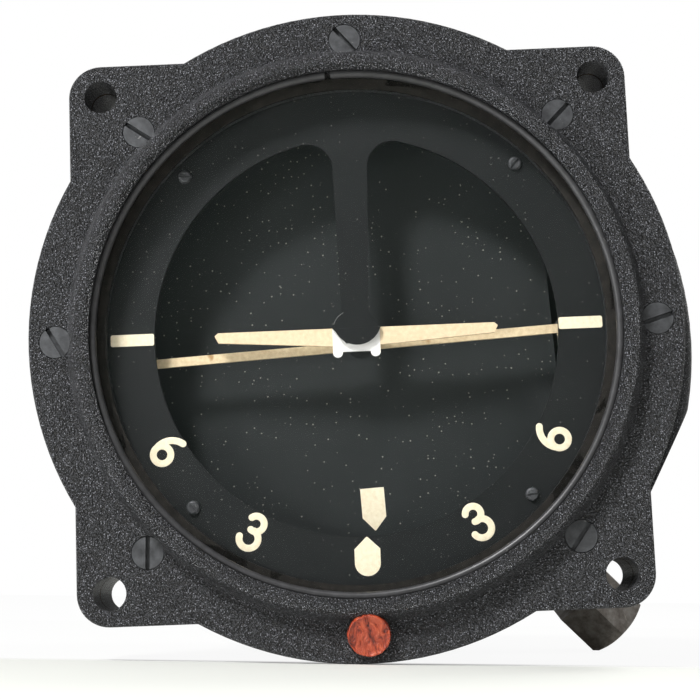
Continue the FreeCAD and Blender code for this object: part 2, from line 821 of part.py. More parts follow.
def mask_screws():
    offset = s.mask_screw_circle * cos(45)
    length = s.mask_depth + s.carrier_web
    places = [((offset * right, mask_front, offset * up), 30 * right + 20 * up)
              for right, up in BOLT_CORNERS]
    return screw_group("mask_screws", places, TO_PILOT, s.mask_screw_head_radius,
                       s.mask_screw_head_depth, s.mask_screw_radius, length, domed=True)


def wax_seal():
    """Sealing wax pressed into the counterbore over the bottom screw."""
    body = piece("wax_seal")
    blob = draw(body, "XZ_Plane")
    circle(blob, 0, 0, s.cover_screw_head_radius)
    pad(body, blob, s.wax_height, backward=True)
    soften(body, "Fillet", lambda edge: at_depth(edge, -s.wax_height), s.wax_height * 0.6)
    return seat(body, at=(0, 0, -s.cover_screw_circle))


# ---------------------------------------------------------------- case

bridge_front = s.front_bearing_at - s.crest_round
bridge_back = bridge_front + s.bridge_depth
bridge_screw_at = s.case_inner_radius - s.pad_length / 2
peg_angle = angle_of(s.finger_half_width + s.buffer_radius + s.seat_gap, s.peg_circle)
PEG_ANGLES = [90 - s.bank_limit.value - peg_angle, 90 + s.bank_limit.value + peg_angle]
UNION_DIRECTION = FreeCAD.Rotation(FreeCAD.Vector(0, 0, 1), FreeCAD.Vector(
    math.cos(math.radians(45)) * cos(s.union_tilt).value, sin(s.union_tilt).value,
    -math.sin(math.radians(45)) * cos(s.union_tilt).value))
UNION_FRAME = FreeCAD.Placement(FreeCAD.Vector(0, s.union_root.value, 0), UNION_DIRECTION)


def union_rod(body, kind, radius, start, length):
    """A cylinder added to or cut from a body along the union's axis."""
    rod = body.newObject(f"PartDesign::{kind}Cylinder", body.Label + "_rod")
    rod.Radius = radius.value
    rod.setExpression("Radius", radius.formula)
    rod.Height = length.value
    rod.setExpression("Height", length.formula)
    rod.Placement = UNION_FRAME * FreeCAD.Placement(FreeCAD.Vector(0, 0, start.value), UPRIGHT)
    doc.recompute()
    return rod


def chamber_outline(body, front, radius, lower, upper, inside):
    """An arc about the roll axis from lower to upper, closed by flanks that run into the barrel."""
    sketch = draw(body, "XZ_Plane", front)
    rim = arc(sketch, 0, 0, radius, lower, upper)
    corners = [(radius * cos(upper), radius * sin(upper))] + inside
    corners.append((radius * cos(lower), radius * sin(lower)))
    lines = [line(sketch, corners[i], corners[i + 1]) for i in range(len(corners) - 1)]
    join(sketch, rim, 2, lines[0], 1)
    for i in range(len(lines) - 1):
        join(sketch, lines[i], 2, lines[i + 1], 1)
        pin_point(sketch, lines[i], 2, *corners[i + 1])
    join(sketch, lines[-1], 2, rim, 1)
    return sketch


def case_body():
    """The cast case: flange, barrel with a closed rear end, side chamber and the boss for the union."""
    body = piece("case_body")
    flange_plate(body, case_front, s.case_flange_depth)
    barrel = draw(body, "XZ_Plane", case_front)
    circle(barrel, 0, 0, case_outer_radius)
    pad(body, barrel, case_back - case_front)
    soften(body, "Fillet", lambda edge: at_depth(edge, case_back), s.case_end_round)

    shy = s.case_inner_radius - s.chamber_root
    flank = s.chamber_radius - s.chamber_flank_inset
    inside = [(shy * cos(s.chamber_upper_angle), shy * sin(s.chamber_upper_angle)),
              (shy * cos(s.chamber_flank_angle), shy * sin(s.chamber_flank_angle)),
              (flank * cos(s.chamber_flank_angle), flank * sin(s.chamber_flank_angle))]
    outline = chamber_outline(body, s.chamber_front, s.chamber_radius, s.chamber_lower_angle,
                              s.chamber_upper_angle, inside)
    pad(body, outline, s.chamber_depth)

    def chamber_rim(edge):
        return is_round(edge, s.chamber_radius)

    soften(body, "Fillet", chamber_rim, s.chamber_wall * 0.7)
    union_rod(body, "Additive", s.union_boss_radius, s.case_inner_radius, s.union_boss_end
              - s.case_inner_radius)

    cavity = draw(body, "XZ_Plane", case_front)
    circle(cavity, 0, 0, s.case_inner_radius)
    cut(body, cavity, s.case_inner_end - case_front)
    inner = s.chamber_radius - s.chamber_wall
    margin = s.chamber_wall
    pocket_in = [(shy * cos(s.chamber_upper_angle - margin), shy * sin(s.chamber_upper_angle - margin)),
                 (shy * cos(s.chamber_lower_angle), shy * sin(s.chamber_lower_angle))]
    hollow = chamber_outline(body, s.chamber_front + s.chamber_wall, inner,
                             s.chamber_lower_angle + margin, s.chamber_upper_angle - margin, pocket_in)
    cut(body, hollow, s.chamber_depth - s.chamber_wall * 2)

    foot = draw(body, "XZ_Plane", bridge_back)
    half = s.bridge_half_width + 2
    rectangle(foot, -s.case_inner_radius - 1, -half, -s.case_inner_radius + s.pad_length, half)
    pad(body, foot, s.pad_depth)
    boss = draw(body, "XZ_Plane", s.rear_bearing_at - s.crest_round)
    circle(boss, 0, 0, s.rear_boss_radius)
    pad(body, boss, s.case_inner_end - s.rear_bearing_at + s.crest_round)

    tapped = draw(body, "XZ_Plane", bridge_back)
    for side in (-1, 1):
        circle(tapped, -bridge_screw_at, s.bridge_half_width / 2 * side, s.rear_screw_radius + s.fit_gap)
    cut(body, tapped, s.pad_depth - 2)
    bearing_seat = draw(body, "XZ_Plane", s.rear_bearing_at - s.crest_round)
    circle(bearing_seat, 0, 0, s.roll_race_radius + s.fit_gap)
    cut(body, bearing_seat, s.roll_race_width + s.crest_round)
    inlet = draw(body, "XZ_Plane", s.rear_bearing_at)
    circle(inlet, 0, 0, s.roll_race_radius - s.roll_race_wall * 2)
    cut(body, inlet, case_back - s.rear_bearing_at)
    pegs = draw(body, "XZ_Plane", s.case_inner_end)
    for angle in PEG_ANGLES:
        circle(pegs, s.peg_circle * cos(angle), s.peg_circle * sin(angle), s.peg_radius + s.fit_gap)
    cut(body, pegs, s.case_end_wall / 2)
    bolt_holes(body, case_front, s.case_flange_depth)
    ring_of_holes(body, case_front, s.cover_screw_length - case_front + 1, s.cover_screw_circle,
                  s.cover_screw_radius + s.fit_gap, s.cover_screw_count)
    ring_of_holes(body, case_back - 3, 3, s.rear_screw_circle, s.rear_screw_radius + s.fit_gap,
                  s.rear_screw_count)
    union_rod(body, "Subtractive", s.nipple_radius + s.fit_gap, s.case_inner_radius - 6,
              s.union_boss_end - s.case_inner_radius + 8)
    return seat(body)


# ---------------------------------------------------------------- ball bearings

def race_pair(prefix, bore, outer, width, wall, seats, outer_frame, inner_frame):
    """Outer and inner races about the piece's +Z; seats is a list of (point, turn)."""
    for part, low, high, frame in (("outer_races", outer - wall, outer, outer_frame),
                                   ("inner_races", bore, bore + wall, inner_frame)):
        members = []
        for number, (point, turn) in enumerate(seats, start=1):
            body = piece(f"{prefix}_{part}_{number}")
            ring = draw(body, "XY_Plane")
            circle(ring, 0, 0, high)
            circle(ring, 0, 0, low)
            pad(body, ring, width)
            members.append(seat(body, frame, point, turn, keep=False))
        seat(together(f"{prefix}_{part}", members))


def ball_sets(prefix, bore, outer, width, wall, count, seats, frame):
    """The balls of each bearing, evenly spaced between its races."""
    track = (bore + outer) / 2
    radius = (outer - bore) / 2 - wall - s.running_gap
    members = []
    for point, turn in seats:
        start = FreeCAD.Vector(*[as_size(number).value for number in point])
        bearing = frame * FreeCAD.Placement(start, turn)
        for i in range(int(count.value)):
            angle = 360.0 * i / count.value
            ball = doc.addObject("Part::Sphere", f"{prefix}_ball")
            ball.Radius = radius.value
            ball.setExpression("Radius", radius.formula)
            offset = FreeCAD.Vector((track * cos(angle)).value, (track * sin(angle)).value,
                                    width.value / 2)
            ball.Placement = bearing * FreeCAD.Placement(offset, UPRIGHT)
            members.append(ball)
    seat(together(f"{prefix}_balls", members))


def bearings():
    roll = [((0, s.front_bearing_at, 0), TO_REAR), ((0, s.rear_bearing_at, 0), TO_REAR)]
    race_pair("roll", s.roll_pivot_radius, s.roll_race_radius, s.roll_race_width, s.roll_race_wall,
              roll, CASE, GIMBAL)
    ball_sets("roll", s.roll_pivot_radius, s.roll_race_radius, s.roll_race_width, s.roll_race_wall,
              s.roll_ball_count, roll, CASE)
    pitch_at = s.gimbal_half_width - s.pitch_race_width
    pitch = [((pitch_at, pitch_axis_at, 0), TO_RIGHT), ((-pitch_at, pitch_axis_at, 0), TO_LEFT)]
    race_pair("pitch", s.pitch_pivot_radius, s.pitch_race_radius, s.pitch_race_width,
              s.pitch_race_wall, pitch, GIMBAL, CAN)
    ball_sets("pitch", s.pitch_pivot_radius, s.pitch_race_radius, s.pitch_race_width,
              s.pitch_race_wall, s.pitch_ball_count, pitch, GIMBAL)
    spin = [((0, pitch_axis_at, rotor_bearing_low), UPRIGHT),
            ((0, pitch_axis_at, rotor_bearing_high), UPRIGHT)]
    race_pair("rotor", s.rotor_shaft_radius, s.rotor_race_radius, s.rotor_race_width,
              s.rotor_race_wall, spin, CAN, CAN)
    ball_sets("rotor", s.rotor_shaft_radius, s.rotor_race_radius, s.rotor_race_width,
              s.rotor_race_wall, s.rotor_ball_count, spin, CAN)


# ---------------------------------------------------------------- bridge, gimbal ring, roll pivots

rotor_bearing_low = -s.can_bottom + s.can_wall + s.seat_gap
rotor_bearing_high = s.can_top - s.seat_gap - s.rotor_race_width
can_floor = -s.can_bottom + s.can_wall
gimbal_half = s.gimbal_length / 2


def bearing_bridge():
    """A bar from the left wall of the case to the hub that holds the front roll bearing."""
    body = piece("bearing_bridge")
    hub = draw(body, "XZ_Plane")
    circle(hub, 0, 0, s.bridge_hub_radius)
    pad(body, hub, s.bridge_depth)
    bar = draw(body, "XZ_Plane")
    rectangle(bar, -s.case_inner_radius + 1, -s.bridge_half_width, 0, s.bridge_half_width)
    pad(body, bar, s.bridge_depth)
    bearing_seat = draw(body, "XZ_Plane")
    circle(bearing_seat, 0, 0, s.roll_race_radius + s.fit_gap)
    cut(body, bearing_seat, s.front_bearing_at + s.roll_race_width - bridge_front)
    clearance = draw(body, "XZ_Plane")
    circle(clearance, 0, 0, s.roll_race_radius - s.roll_race_wall * 1.5)
    cut(body, clearance, s.bridge_depth)
    holes = draw(body, "XZ_Plane")
    for side in (-1, 1):
        circle(holes, -bridge_screw_at, s.bridge_half_width / 2 * side,
               s.rear_screw_radius + s.screw_gap)
    cut(body, holes, s.bridge_depth)
    return seat(body, at=(0, bridge_front, 0))


def bridge_screws():
    places = [((-bridge_screw_at, bridge_front, s.bridge_half_width / 2 * side), 40 * side)
              for side in (-1, 1)]
    return screw_group("bridge_screws", places, TO_PILOT, s.rear_screw_head_radius,
                       s.rear_screw_head_depth, s.rear_screw_radius, s.bridge_depth + 5, domed=True)


def gimbal_ring():
    """A rounded rectangular frame lying level, with eyes on its sides for the pitch bearings."""
    body = piece("gimbal_ring")
    frame = draw(body, "XY_Plane", -s.gimbal_half_height)
    rectangle(frame, -s.gimbal_half_width, -gimbal_half, s.gimbal_half_width, gimbal_half)
    pad(body, frame, s.gimbal_half_height * 2)
    soften(body, "Fillet", lambda edge: along(edge, (0, 0, 1)), s.gimbal_corner)
    inner_side = s.gimbal_half_width - s.gimbal_bar_width
    for side in (-1, 1):
        eye = draw(body, "YZ_Plane", inner_side if side > 0 else -s.gimbal_half_width)
        circle(eye, 0, 0, s.eye_radius)
        pad(body, eye, s.gimbal_bar_width)
    window = draw(body, "XY_Plane", -s.eye_radius)
    rectangle(window, -inner_side, -gimbal_half + s.gimbal_end_width, inner_side,
              gimbal_half - s.gimbal_end_width)
    cut(body, window, s.eye_radius * 2)
    lug = draw(body, "YZ_Plane", inner_side - s.gimbal_bar_width)
    circle(lug, arm_pivot_at - pitch_axis_at, 0, s.arm_hub_radius)
    pad(body, lug, s.gimbal_bar_width * 2)
    for side in (-1, 1):
        bearing_seat = draw(body, "YZ_Plane", (s.gimbal_half_width - s.pitch_race_width) * side)
        circle(bearing_seat, 0, 0, s.pitch_race_radius + s.fit_gap)
        cut(body, bearing_seat, s.pitch_race_width, backward=side < 0)
    trunnion_way = draw(body, "YZ_Plane", -s.gimbal_half_width)
    circle(trunnion_way, 0, 0, s.pitch_race_radius - s.pitch_race_wall * 1.5)
    cut(body, trunnion_way, s.gimbal_half_width * 2)

    slot_half = s.guide_pin_radius + s.seat_gap * 2
    slot = draw(body, "XY_Plane")
    rectangle(slot, inner_side - 1, s.guide_pin_circle - slot_half, s.gimbal_half_width + 1,
              s.guide_pin_circle + slot_half)
    groove(body, slot, "H_Axis", s.pitch_limit * 2, middle=True)
    ends = draw(body, "YZ_Plane", inner_side - 1)
    for side in (-1, 1):
        circle(ends, s.guide_pin_circle * cos(s.pitch_limit), s.guide_pin_circle * sin(s.pitch_limit)
               * side, slot_half)
    cut(body, ends, s.gimbal_bar_width + 2)

    pivot_hole = draw(body, "XZ_Plane", -gimbal_half)
    circle(pivot_hole, 0, 0, s.roll_pivot_radius + s.fit_gap)
    cut(body, pivot_hole, s.gimbal_length)
    pin_hole = draw(body, "YZ_Plane", inner_side - s.gimbal_bar_width)
    circle(pin_hole, arm_pivot_at - pitch_axis_at, 0, s.arm_pin_radius + s.fit_gap)
    cut(body, pin_hole, s.gimbal_bar_width * 2)
    return seat(body, GIMBAL, (0, pitch_axis_at, 0))


def roll_pivots():
    """Front pivot with a tapped nose for the sky plate; hollow rear pivot that brings the air in."""
    flange = s.roll_pivot_flange_depth
    inside_front = s.gimbal_front + s.gimbal_end_width
    nose = s.sky_plate_front + s.sky_plate_depth
    front = piece("front_roll_pivot")
    profile = draw(front, "XY_Plane")
    polygon(profile, [(0, nose), (s.roll_pivot_radius, nose), (s.roll_pivot_radius, inside_front),
                      (s.roll_pivot_flange, inside_front), (s.roll_pivot_flange, inside_front + flange),
                      (0, inside_front + flange)])
    revolve(front, profile, "V_Axis")
    tapped = draw(front, "XZ_Plane", nose)
    circle(tapped, 0, 0, s.rear_screw_radius + s.fit_gap)
    cut(front, tapped, s.rear_screw_length)
    seat(front, GIMBAL)

    inside_rear = s.gimbal_front + s.gimbal_length - s.gimbal_end_width
    tail = s.rear_bearing_at + s.roll_race_width + s.crest_round
    rear = piece("rear_roll_pivot")
    profile = draw(rear, "XY_Plane")
    polygon(profile, [(s.air_passage_radius, inside_rear - flange),
                      (s.roll_pivot_flange, inside_rear - flange), (s.roll_pivot_flange, inside_rear),
                      (s.roll_pivot_radius, inside_rear), (s.roll_pivot_radius, tail),
                      (s.air_passage_radius, tail)])
    revolve(rear, profile, "V_Axis")
    seat(rear, GIMBAL)


def roll_stop():
    """A finger on the rear pivot that meets rubber-sleeved pegs in the end wall."""
    finger = piece("roll_stop_finger")
    hub = draw(finger, "XZ_Plane")
    circle(hub, 0, 0, s.roll_pivot_radius * 2)
    pad(finger, hub, s.finger_depth)
    blade = draw(finger, "XZ_Plane")
    rectangle(blade, -s.finger_half_width, 0, s.finger_half_width, s.finger_radius)
    pad(finger, blade, s.finger_depth)
    bore = draw(finger, "XZ_Plane")
    circle(bore, 0, 0, s.roll_pivot_radius + s.fit_gap)
    cut(finger, bore, s.finger_depth)
    gimbal_back = s.gimbal_front + s.gimbal_length
    seat(finger, GIMBAL, (0, gimbal_back, 0))
    peg_front = gimbal_back + s.swing_gap
    pegs, buffers = [], []
    for number, angle in enumerate(PEG_ANGLES, start=1):
        at = (s.peg_circle * cos(angle), peg_front, s.peg_circle * sin(angle))
        peg = piece(f"stop_peg_{number}")
        section = draw(peg, "XZ_Plane")
        circle(section, 0, 0, s.peg_radius)
        pad(peg, section, s.case_inner_end + s.case_end_wall / 2 - peg_front)
        pegs.append(seat(peg, at=at, keep=False))
        buffer = piece(f"rubber_buffer_{number}")
        section = draw(buffer, "XZ_Plane")
        circle(section, 0, 0, s.buffer_radius)
        circle(section, 0, 0, s.peg_radius)
        pad(buffer, section, s.finger_depth + s.swing_gap)
        buffers.append(seat(buffer, at=at, keep=False))
    seat(together("stop_pegs", pegs))
    seat(together("rubber_buffers", buffers))


def sky_plate():
    """The dark disc behind the bar; a chord is cut away on the right for the arm of the bar."""
    body = piece("sky_plate")
    disc = draw(body, "XZ_Plane")
    circle(disc, 0, 0, s.sky_plate_radius)
    pad(body, disc, s.sky_plate_depth)
    hub = draw(body, "XZ_Plane", s.sky_plate_depth)
    circle(hub, 0, 0, s.sky_hub_radius)
    hub_depth = bridge_front - s.sky_plate_front - s.sky_plate_depth - s.swing_gap
    pad(body, hub, hub_depth)
    chord = draw(body, "XZ_Plane")
    rectangle(chord, s.sky_plate_chord, -s.sky_plate_radius, s.sky_plate_radius + 1, s.sky_plate_radius)
    cut(body, chord, s.sky_plate_depth)
    bore = draw(body, "XZ_Plane", s.sky_plate_depth)
    circle(bore, 0, 0, s.roll_pivot_radius + s.fit_gap)
    cut(body, bore, hub_depth)
    hole = draw(body, "XZ_Plane")
    circle(hole, 0, 0, s.rear_screw_radius + s.fit_gap)
    cut(body, hole, s.sky_plate_depth)
    seat(body, GIMBAL, (0, s.sky_plate_front, 0))
    screw = slotted_screw("sky_plate_screw", s.rear_screw_head_radius, s.rear_screw_head_depth,
                          s.rear_screw_radius, s.rear_screw_length, domed=True)
    seat(screw, GIMBAL, (0, s.sky_plate_front, 0), TO_PILOT)


# ---------------------------------------------------------------- horizon bar and its arm

def horizon_arm():
    """A flat lever outside the gimbal's right side, slotted for the guide pin."""
    body = piece("horizon_arm")
    reach = arm_pivot_at - s.bar_front
    near = arm_pivot_at - pitch_axis_at
    slot_start = near - s.guide_pin_circle
    slot_end = diagonal(near - s.guide_pin_circle * cos(s.pitch_limit),
                        s.guide_pin_circle * sin(s.pitch_limit))
    slot_half = s.guide_pin_radius + s.guide_pin_play
    lever = draw(body, "YZ_Plane")
    rectangle(lever, -reach, -s.arm_half_height, s.arm_tail, s.arm_half_height)
    pad(body, lever, s.arm_depth)
    for y in (as_size(0), -(slot_start + slot_end) / 2):
        boss = draw(body, "YZ_Plane")
        circle(boss, y, 0, s.arm_hub_radius if y.value == 0 else slot_half * 2 + s.arm_half_height)
        pad(body, boss, s.arm_depth)
    slot = draw(body, "YZ_Plane")
    rectangle(slot, -slot_end, -slot_half, -slot_start, slot_half)
    cut(body, slot, s.arm_depth)
    for y in (-slot_start, -slot_end):
        end = draw(body, "YZ_Plane")
        circle(end, y, 0, slot_half)
        cut(body, end, s.arm_depth)
    pivot = draw(body, "YZ_Plane")
    circle(pivot, 0, 0, s.arm_pin_radius + s.running_gap)
    cut(body, pivot, s.arm_depth)
    seat(body, ARM, (s.arm_inner_face, arm_pivot_at, 0))

    weight = piece("arm_counterweight")
    block = draw(weight, "YZ_Plane")
    circle(block, 0, 0, s.counterweight_radius)
    pad(weight, block, s.counterweight_width)
    seat(weight, ARM, (s.arm_inner_face - s.counterweight_width, arm_pivot_at + s.arm_tail, 0))


def arm_pivot_pin():
    """The pin the arm swings on, with a collar that holds the arm off the gimbal, and its clip."""
    root = s.gimbal_half_width - s.gimbal_bar_width
    outer = s.arm_inner_face + s.arm_depth + s.running_gap * 2
    clip_depth = s.arm_depth / 2
    pin = piece("arm_pivot_pin")
    profile = draw(pin, "XY_Plane")
    collar = s.arm_inner_face - s.running_gap * 2
    polygon(profile, [(root, 0), (root, s.arm_pin_radius), (s.gimbal_half_width, s.arm_pin_radius),
                      (s.gimbal_half_width, s.arm_pin_radius * 2), (collar, s.arm_pin_radius * 2),
                      (collar, s.arm_pin_radius), (outer + clip_depth + s.arm_depth, s.arm_pin_radius),
                      (outer + clip_depth + s.arm_depth, 0)])
    revolve(pin, profile, "H_Axis")
    seat(pin, GIMBAL, (0, arm_pivot_at, 0))
    clip = piece("arm_clip")
    ring = draw(clip, "YZ_Plane")
    circle(ring, 0, 0, s.arm_pin_radius * 1.9)
    circle(ring, 0, 0, s.arm_pin_radius)
    pad(clip, ring, clip_depth)
    seat(clip, GIMBAL, (outer, arm_pivot_at, 0))


def horizon_bar():
    """The painted strip across the dial, with a tab that is riveted to the inside of the arm."""
    body = piece("horizon_bar")
    left = s.opening_radius + s.bar_overlap
    strip = draw(body, "XZ_Plane")
    rectangle(strip, -left, -s.bar_half_height, s.arm_inner_face, s.bar_half_height)
    pad(body, strip, s.bar_depth)
    tab = draw(body, "YZ_Plane", s.arm_inner_face)
    rectangle(tab, 0, -s.arm_half_height / 2, s.bar_depth * 4, s.arm_half_height / 2)
    pad(body, tab, s.bar_depth / 2, backward=True)
    return seat(body, ARM, (0, s.bar_front, 0))


# ---------------------------------------------------------------- rotor can, cover and what they carry

def rotor_can():
    """A turned can with a flange, flat bosses for the trunnions and the guide pin, and jet holes."""
    body = piece("rotor_can")
    inner = s.can_radius - s.can_wall
    flange = s.can_radius + s.can_flange_width
    boss = s.rotor_race_radius + s.can_wall
    seat_top = rotor_bearing_low + s.rotor_race_width
    profile = draw(body, "XZ_Plane")
    polygon(profile, [(0, -s.can_bottom), (s.can_radius, -s.can_bottom),
                      (s.can_radius, s.can_top - s.can_flange_depth),
                      (flange, s.can_top - s.can_flange_depth), (flange, s.can_top), (inner, s.can_top),
                      (inner, can_floor), (boss, can_floor), (boss, seat_top),
                      (s.rotor_race_radius + s.fit_gap, seat_top),
                      (s.rotor_race_radius + s.fit_gap, rotor_bearing_low),
                      (s.rotor_race_radius - s.rotor_race_wall, rotor_bearing_low),
                      (s.rotor_race_radius - s.rotor_race_wall, can_floor), (0, can_floor)])
    revolve(body, profile, "V_Axis")
    boss_end = s.can_radius + s.rotor_race_wall
    for side in (-1, 1):
        trunnion_boss = draw(body, "YZ_Plane", (inner + s.seat_gap) * side)
        circle(trunnion_boss, 0, 0, s.trunnion_radius + s.rotor_race_wall)
        pad(body, trunnion_boss, boss_end - inner - s.seat_gap, backward=side < 0)
    pin_boss = draw(body, "YZ_Plane", inner - s.jet_to_rotor)
    circle(pin_boss, s.guide_pin_circle, 0, s.guide_pin_radius * 2.5)
    pad(body, pin_boss, boss_end - inner + s.jet_to_rotor)
    for side in (-1, 1):
        jet_hole = draw(body, "XZ_Plane", -s.can_radius * side)
        circle(jet_hole, s.jet_offset * side, 0, s.jet_radius + s.fit_gap)
        cut(body, jet_hole, s.can_radius / 2, backward=side < 0)
    ring_of_holes_up(body, -s.can_bottom, s.can_wall, s.erector_radius - s.erector_wall
                     - s.vent_radius * 1.2, s.vent_radius, as_size(4))
    ring_of_holes_up(body, s.can_top - s.can_flange_depth, s.can_flange_depth, can_screw_circle,
                     s.rear_screw_radius / 2 + s.fit_gap, s.rear_screw_count)
    return seat(body, CAN, (0, pitch_axis_at, 0))


def ring_of_holes_up(body, bottom, depth, circle_radius, radius, count):
    hole = draw(body, "XY_Plane", bottom)
    circle(hole, circle_radius * cos(45), circle_radius * sin(45), radius)
    around(body, cut(body, hole, depth), hole, count)


can_screw_circle = s.can_radius + s.can_flange_width / 2


def can_cover():
    """The crowned lid of the rotor can, with the seat of the upper rotor bearing inside."""
    body = piece("can_cover")
    flange = s.can_radius + s.can_flange_width
    boss = s.rotor_race_radius + s.can_wall
    lid = s.can_top + s.can_flange_depth
    profile = draw(body, "XZ_Plane")
    polygon(profile, [(0, s.can_top), (s.rotor_race_radius + s.fit_gap, s.can_top),
                      (s.rotor_race_radius + s.fit_gap, rotor_bearing_high),
                      (boss, rotor_bearing_high), (boss, s.can_top), (flange, s.can_top), (flange, lid),
                      (s.can_radius - s.can_wall, lid), (boss, lid + s.cover_crown),
                      (0, lid + s.cover_crown)])
    revolve(body, profile, "V_Axis")
    ring_of_holes_up(body, s.can_top, s.can_flange_depth, can_screw_circle,
                     s.rear_screw_radius / 2 + s.fit_gap, s.rear_screw_count)
    return seat(body, CAN, (0, pitch_axis_at, 0))


def can_screws():
    count = int(s.rear_screw_count.value)
    places = []
    for i in range(count):
        angle = 45 + 360.0 * i / count
        point = (can_screw_circle * cos(angle), pitch_axis_at + can_screw_circle * sin(angle),
                 s.can_top + s.can_flange_depth)
        places.append((point, angle))
    members = []
    for number, (point, slot_angle) in enumerate(places, start=1):
        screw = slotted_screw(f"can_screws_{number}", s.rear_screw_head_radius / 2,
                              s.rear_screw_head_depth / 2, s.rear_screw_radius / 2,
                              s.can_flange_depth * 2, domed=True)
        seat(screw, CAN, point, FreeCAD.Rotation(Z_AXIS, slot_angle), keep=False)
        members.append(screw)
    return seat(together("can_screws", members))


def trunnions():
    """The pitch pivots, flanged to the can and drilled for the air."""
    boss_end = s.can_radius + s.rotor_race_wall
    shoulder = s.gimbal_half_width - s.pitch_race_width
    neck = s.pitch_pivot_radius + s.pitch_race_wall
    members = []
    for number, turn in enumerate((TO_RIGHT, TO_LEFT), start=1):
        body = piece(f"pitch_trunnion_{number}")
        profile = draw(body, "XZ_Plane")
        polygon(profile, [(s.jet_bore_radius, boss_end), (s.trunnion_radius, boss_end),
                          (s.trunnion_radius, boss_end + s.can_wall), (neck, boss_end + s.can_wall),
                          (neck, shoulder), (s.pitch_pivot_radius, shoulder),
                          (s.pitch_pivot_radius, s.gimbal_half_width),
                          (s.jet_bore_radius, s.gimbal_half_width)])
        revolve(body, profile, "V_Axis")
        members.append(seat(body, CAN, (0, pitch_axis_at, 0), turn, keep=False))
    return seat(together("pitch_trunnions", members))


def guide_pin():
    """The pin on the can that reaches through the gimbal and moves the arm."""
    boss_end = s.can_radius + s.rotor_race_wall
    body = piece("guide_pin")
    profile = draw(body, "XY_Plane")
    polygon(profile, [(boss_end, 0), (boss_end, s.guide_pin_radius * 2),
                      (boss_end + s.can_wall, s.guide_pin_radius * 2),
                      (boss_end + s.can_wall, s.guide_pin_radius),
                      (s.arm_inner_face + s.arm_depth + s.swing_gap, s.guide_pin_radius),
                      (s.arm_inner_face + s.arm_depth + s.swing_gap, 0)])
    revolve(body, profile, "H_Axis")
    return seat(body, CAN, (0, pitch_axis_at + s.guide_pin_circle, 0))


def air_jets():
    """Two nozzles through the can wall that blow along the rotor's rim."""
    gap = s.rotor_radius + s.jet_to_rotor
    near = math.sqrt(gap.value ** 2 - (s.jet_offset - s.jet_radius).value ** 2)
    members = []
    for number, (side, turn) in enumerate(((1, TO_PILOT), (-1, TO_REAR)), start=1):
        body = piece(f"air_jet_{number}")
        tube = draw(body, "XY_Plane")
        circle(tube, 0, 0, s.jet_radius)
        circle(tube, 0, 0, s.jet_bore_radius)
        pad(body, tube, s.jet_length)
        at = (s.jet_offset * side, pitch_axis_at - near * side, 0)
        members.append(seat(body, CAN, at, turn, keep=False))
    return seat(together("air_jets", members))


def rotor():
    """The rotor wheel with turbine buckets round its rim, and its shaft."""
    rim_inner = s.rotor_radius - s.rotor_rim
    bore = s.rotor_shaft_radius + s.fit_gap
    wheel = piece("rotor_wheel")
    profile = draw(wheel, "XZ_Plane")
    polygon(profile, [(bore, -s.rotor_hub_half_height), (s.rotor_hub_radius, -s.rotor_hub_half_height),
                      (s.rotor_hub_radius, -s.rotor_web_half), (rim_inner, -s.rotor_web_half),
                      (rim_inner, -s.rotor_half_height), (s.rotor_radius, -s.rotor_half_height),
                      (s.rotor_radius, s.rotor_half_height), (rim_inner, s.rotor_half_height),
                      (rim_inner, s.rotor_web_half), (s.rotor_hub_radius, s.rotor_web_half),
                      (s.rotor_hub_radius, s.rotor_hub_half_height), (bore, s.rotor_hub_half_height)])
    revolve(wheel, profile, "V_Axis")
    bucket = draw(wheel, "XY_Plane", -s.bucket_half_height)
    circle(bucket, s.rotor_radius, 0, s.bucket_radius)
    around(wheel, cut(wheel, bucket, s.bucket_half_height * 2), bucket, s.bucket_count)
    seat(wheel, CAN, (0, pitch_axis_at, 0))

    shaft = piece("rotor_shaft")
    low = rotor_bearing_low
    high = rotor_bearing_high + s.rotor_race_width
    collar_low = rotor_bearing_low + s.rotor_race_width
    profile = draw(shaft, "XZ_Plane")
    polygon(profile, [(0, low), (s.rotor_shaft_radius, low), (s.rotor_shaft_radius, collar_low),
                      (s.rotor_collar_radius, collar_low),
                      (s.rotor_collar_radius, -s.rotor_hub_half_height),
                      (s.rotor_shaft_radius, -s.rotor_hub_half_height),
                      (s.rotor_shaft_radius, s.rotor_hub_half_height),
                      (s.rotor_collar_radius, s.rotor_hub_half_height),
                      (s.rotor_collar_radius, rotor_bearing_high),
                      (s.rotor_shaft_radius, rotor_bearing_high), (s.rotor_shaft_radius, high),
                      (0, high)])
    revolve(shaft, profile, "V_Axis")
    seat(shaft, CAN, (0, pitch_axis_at, 0))


# ---------------------------------------------------------------- erector

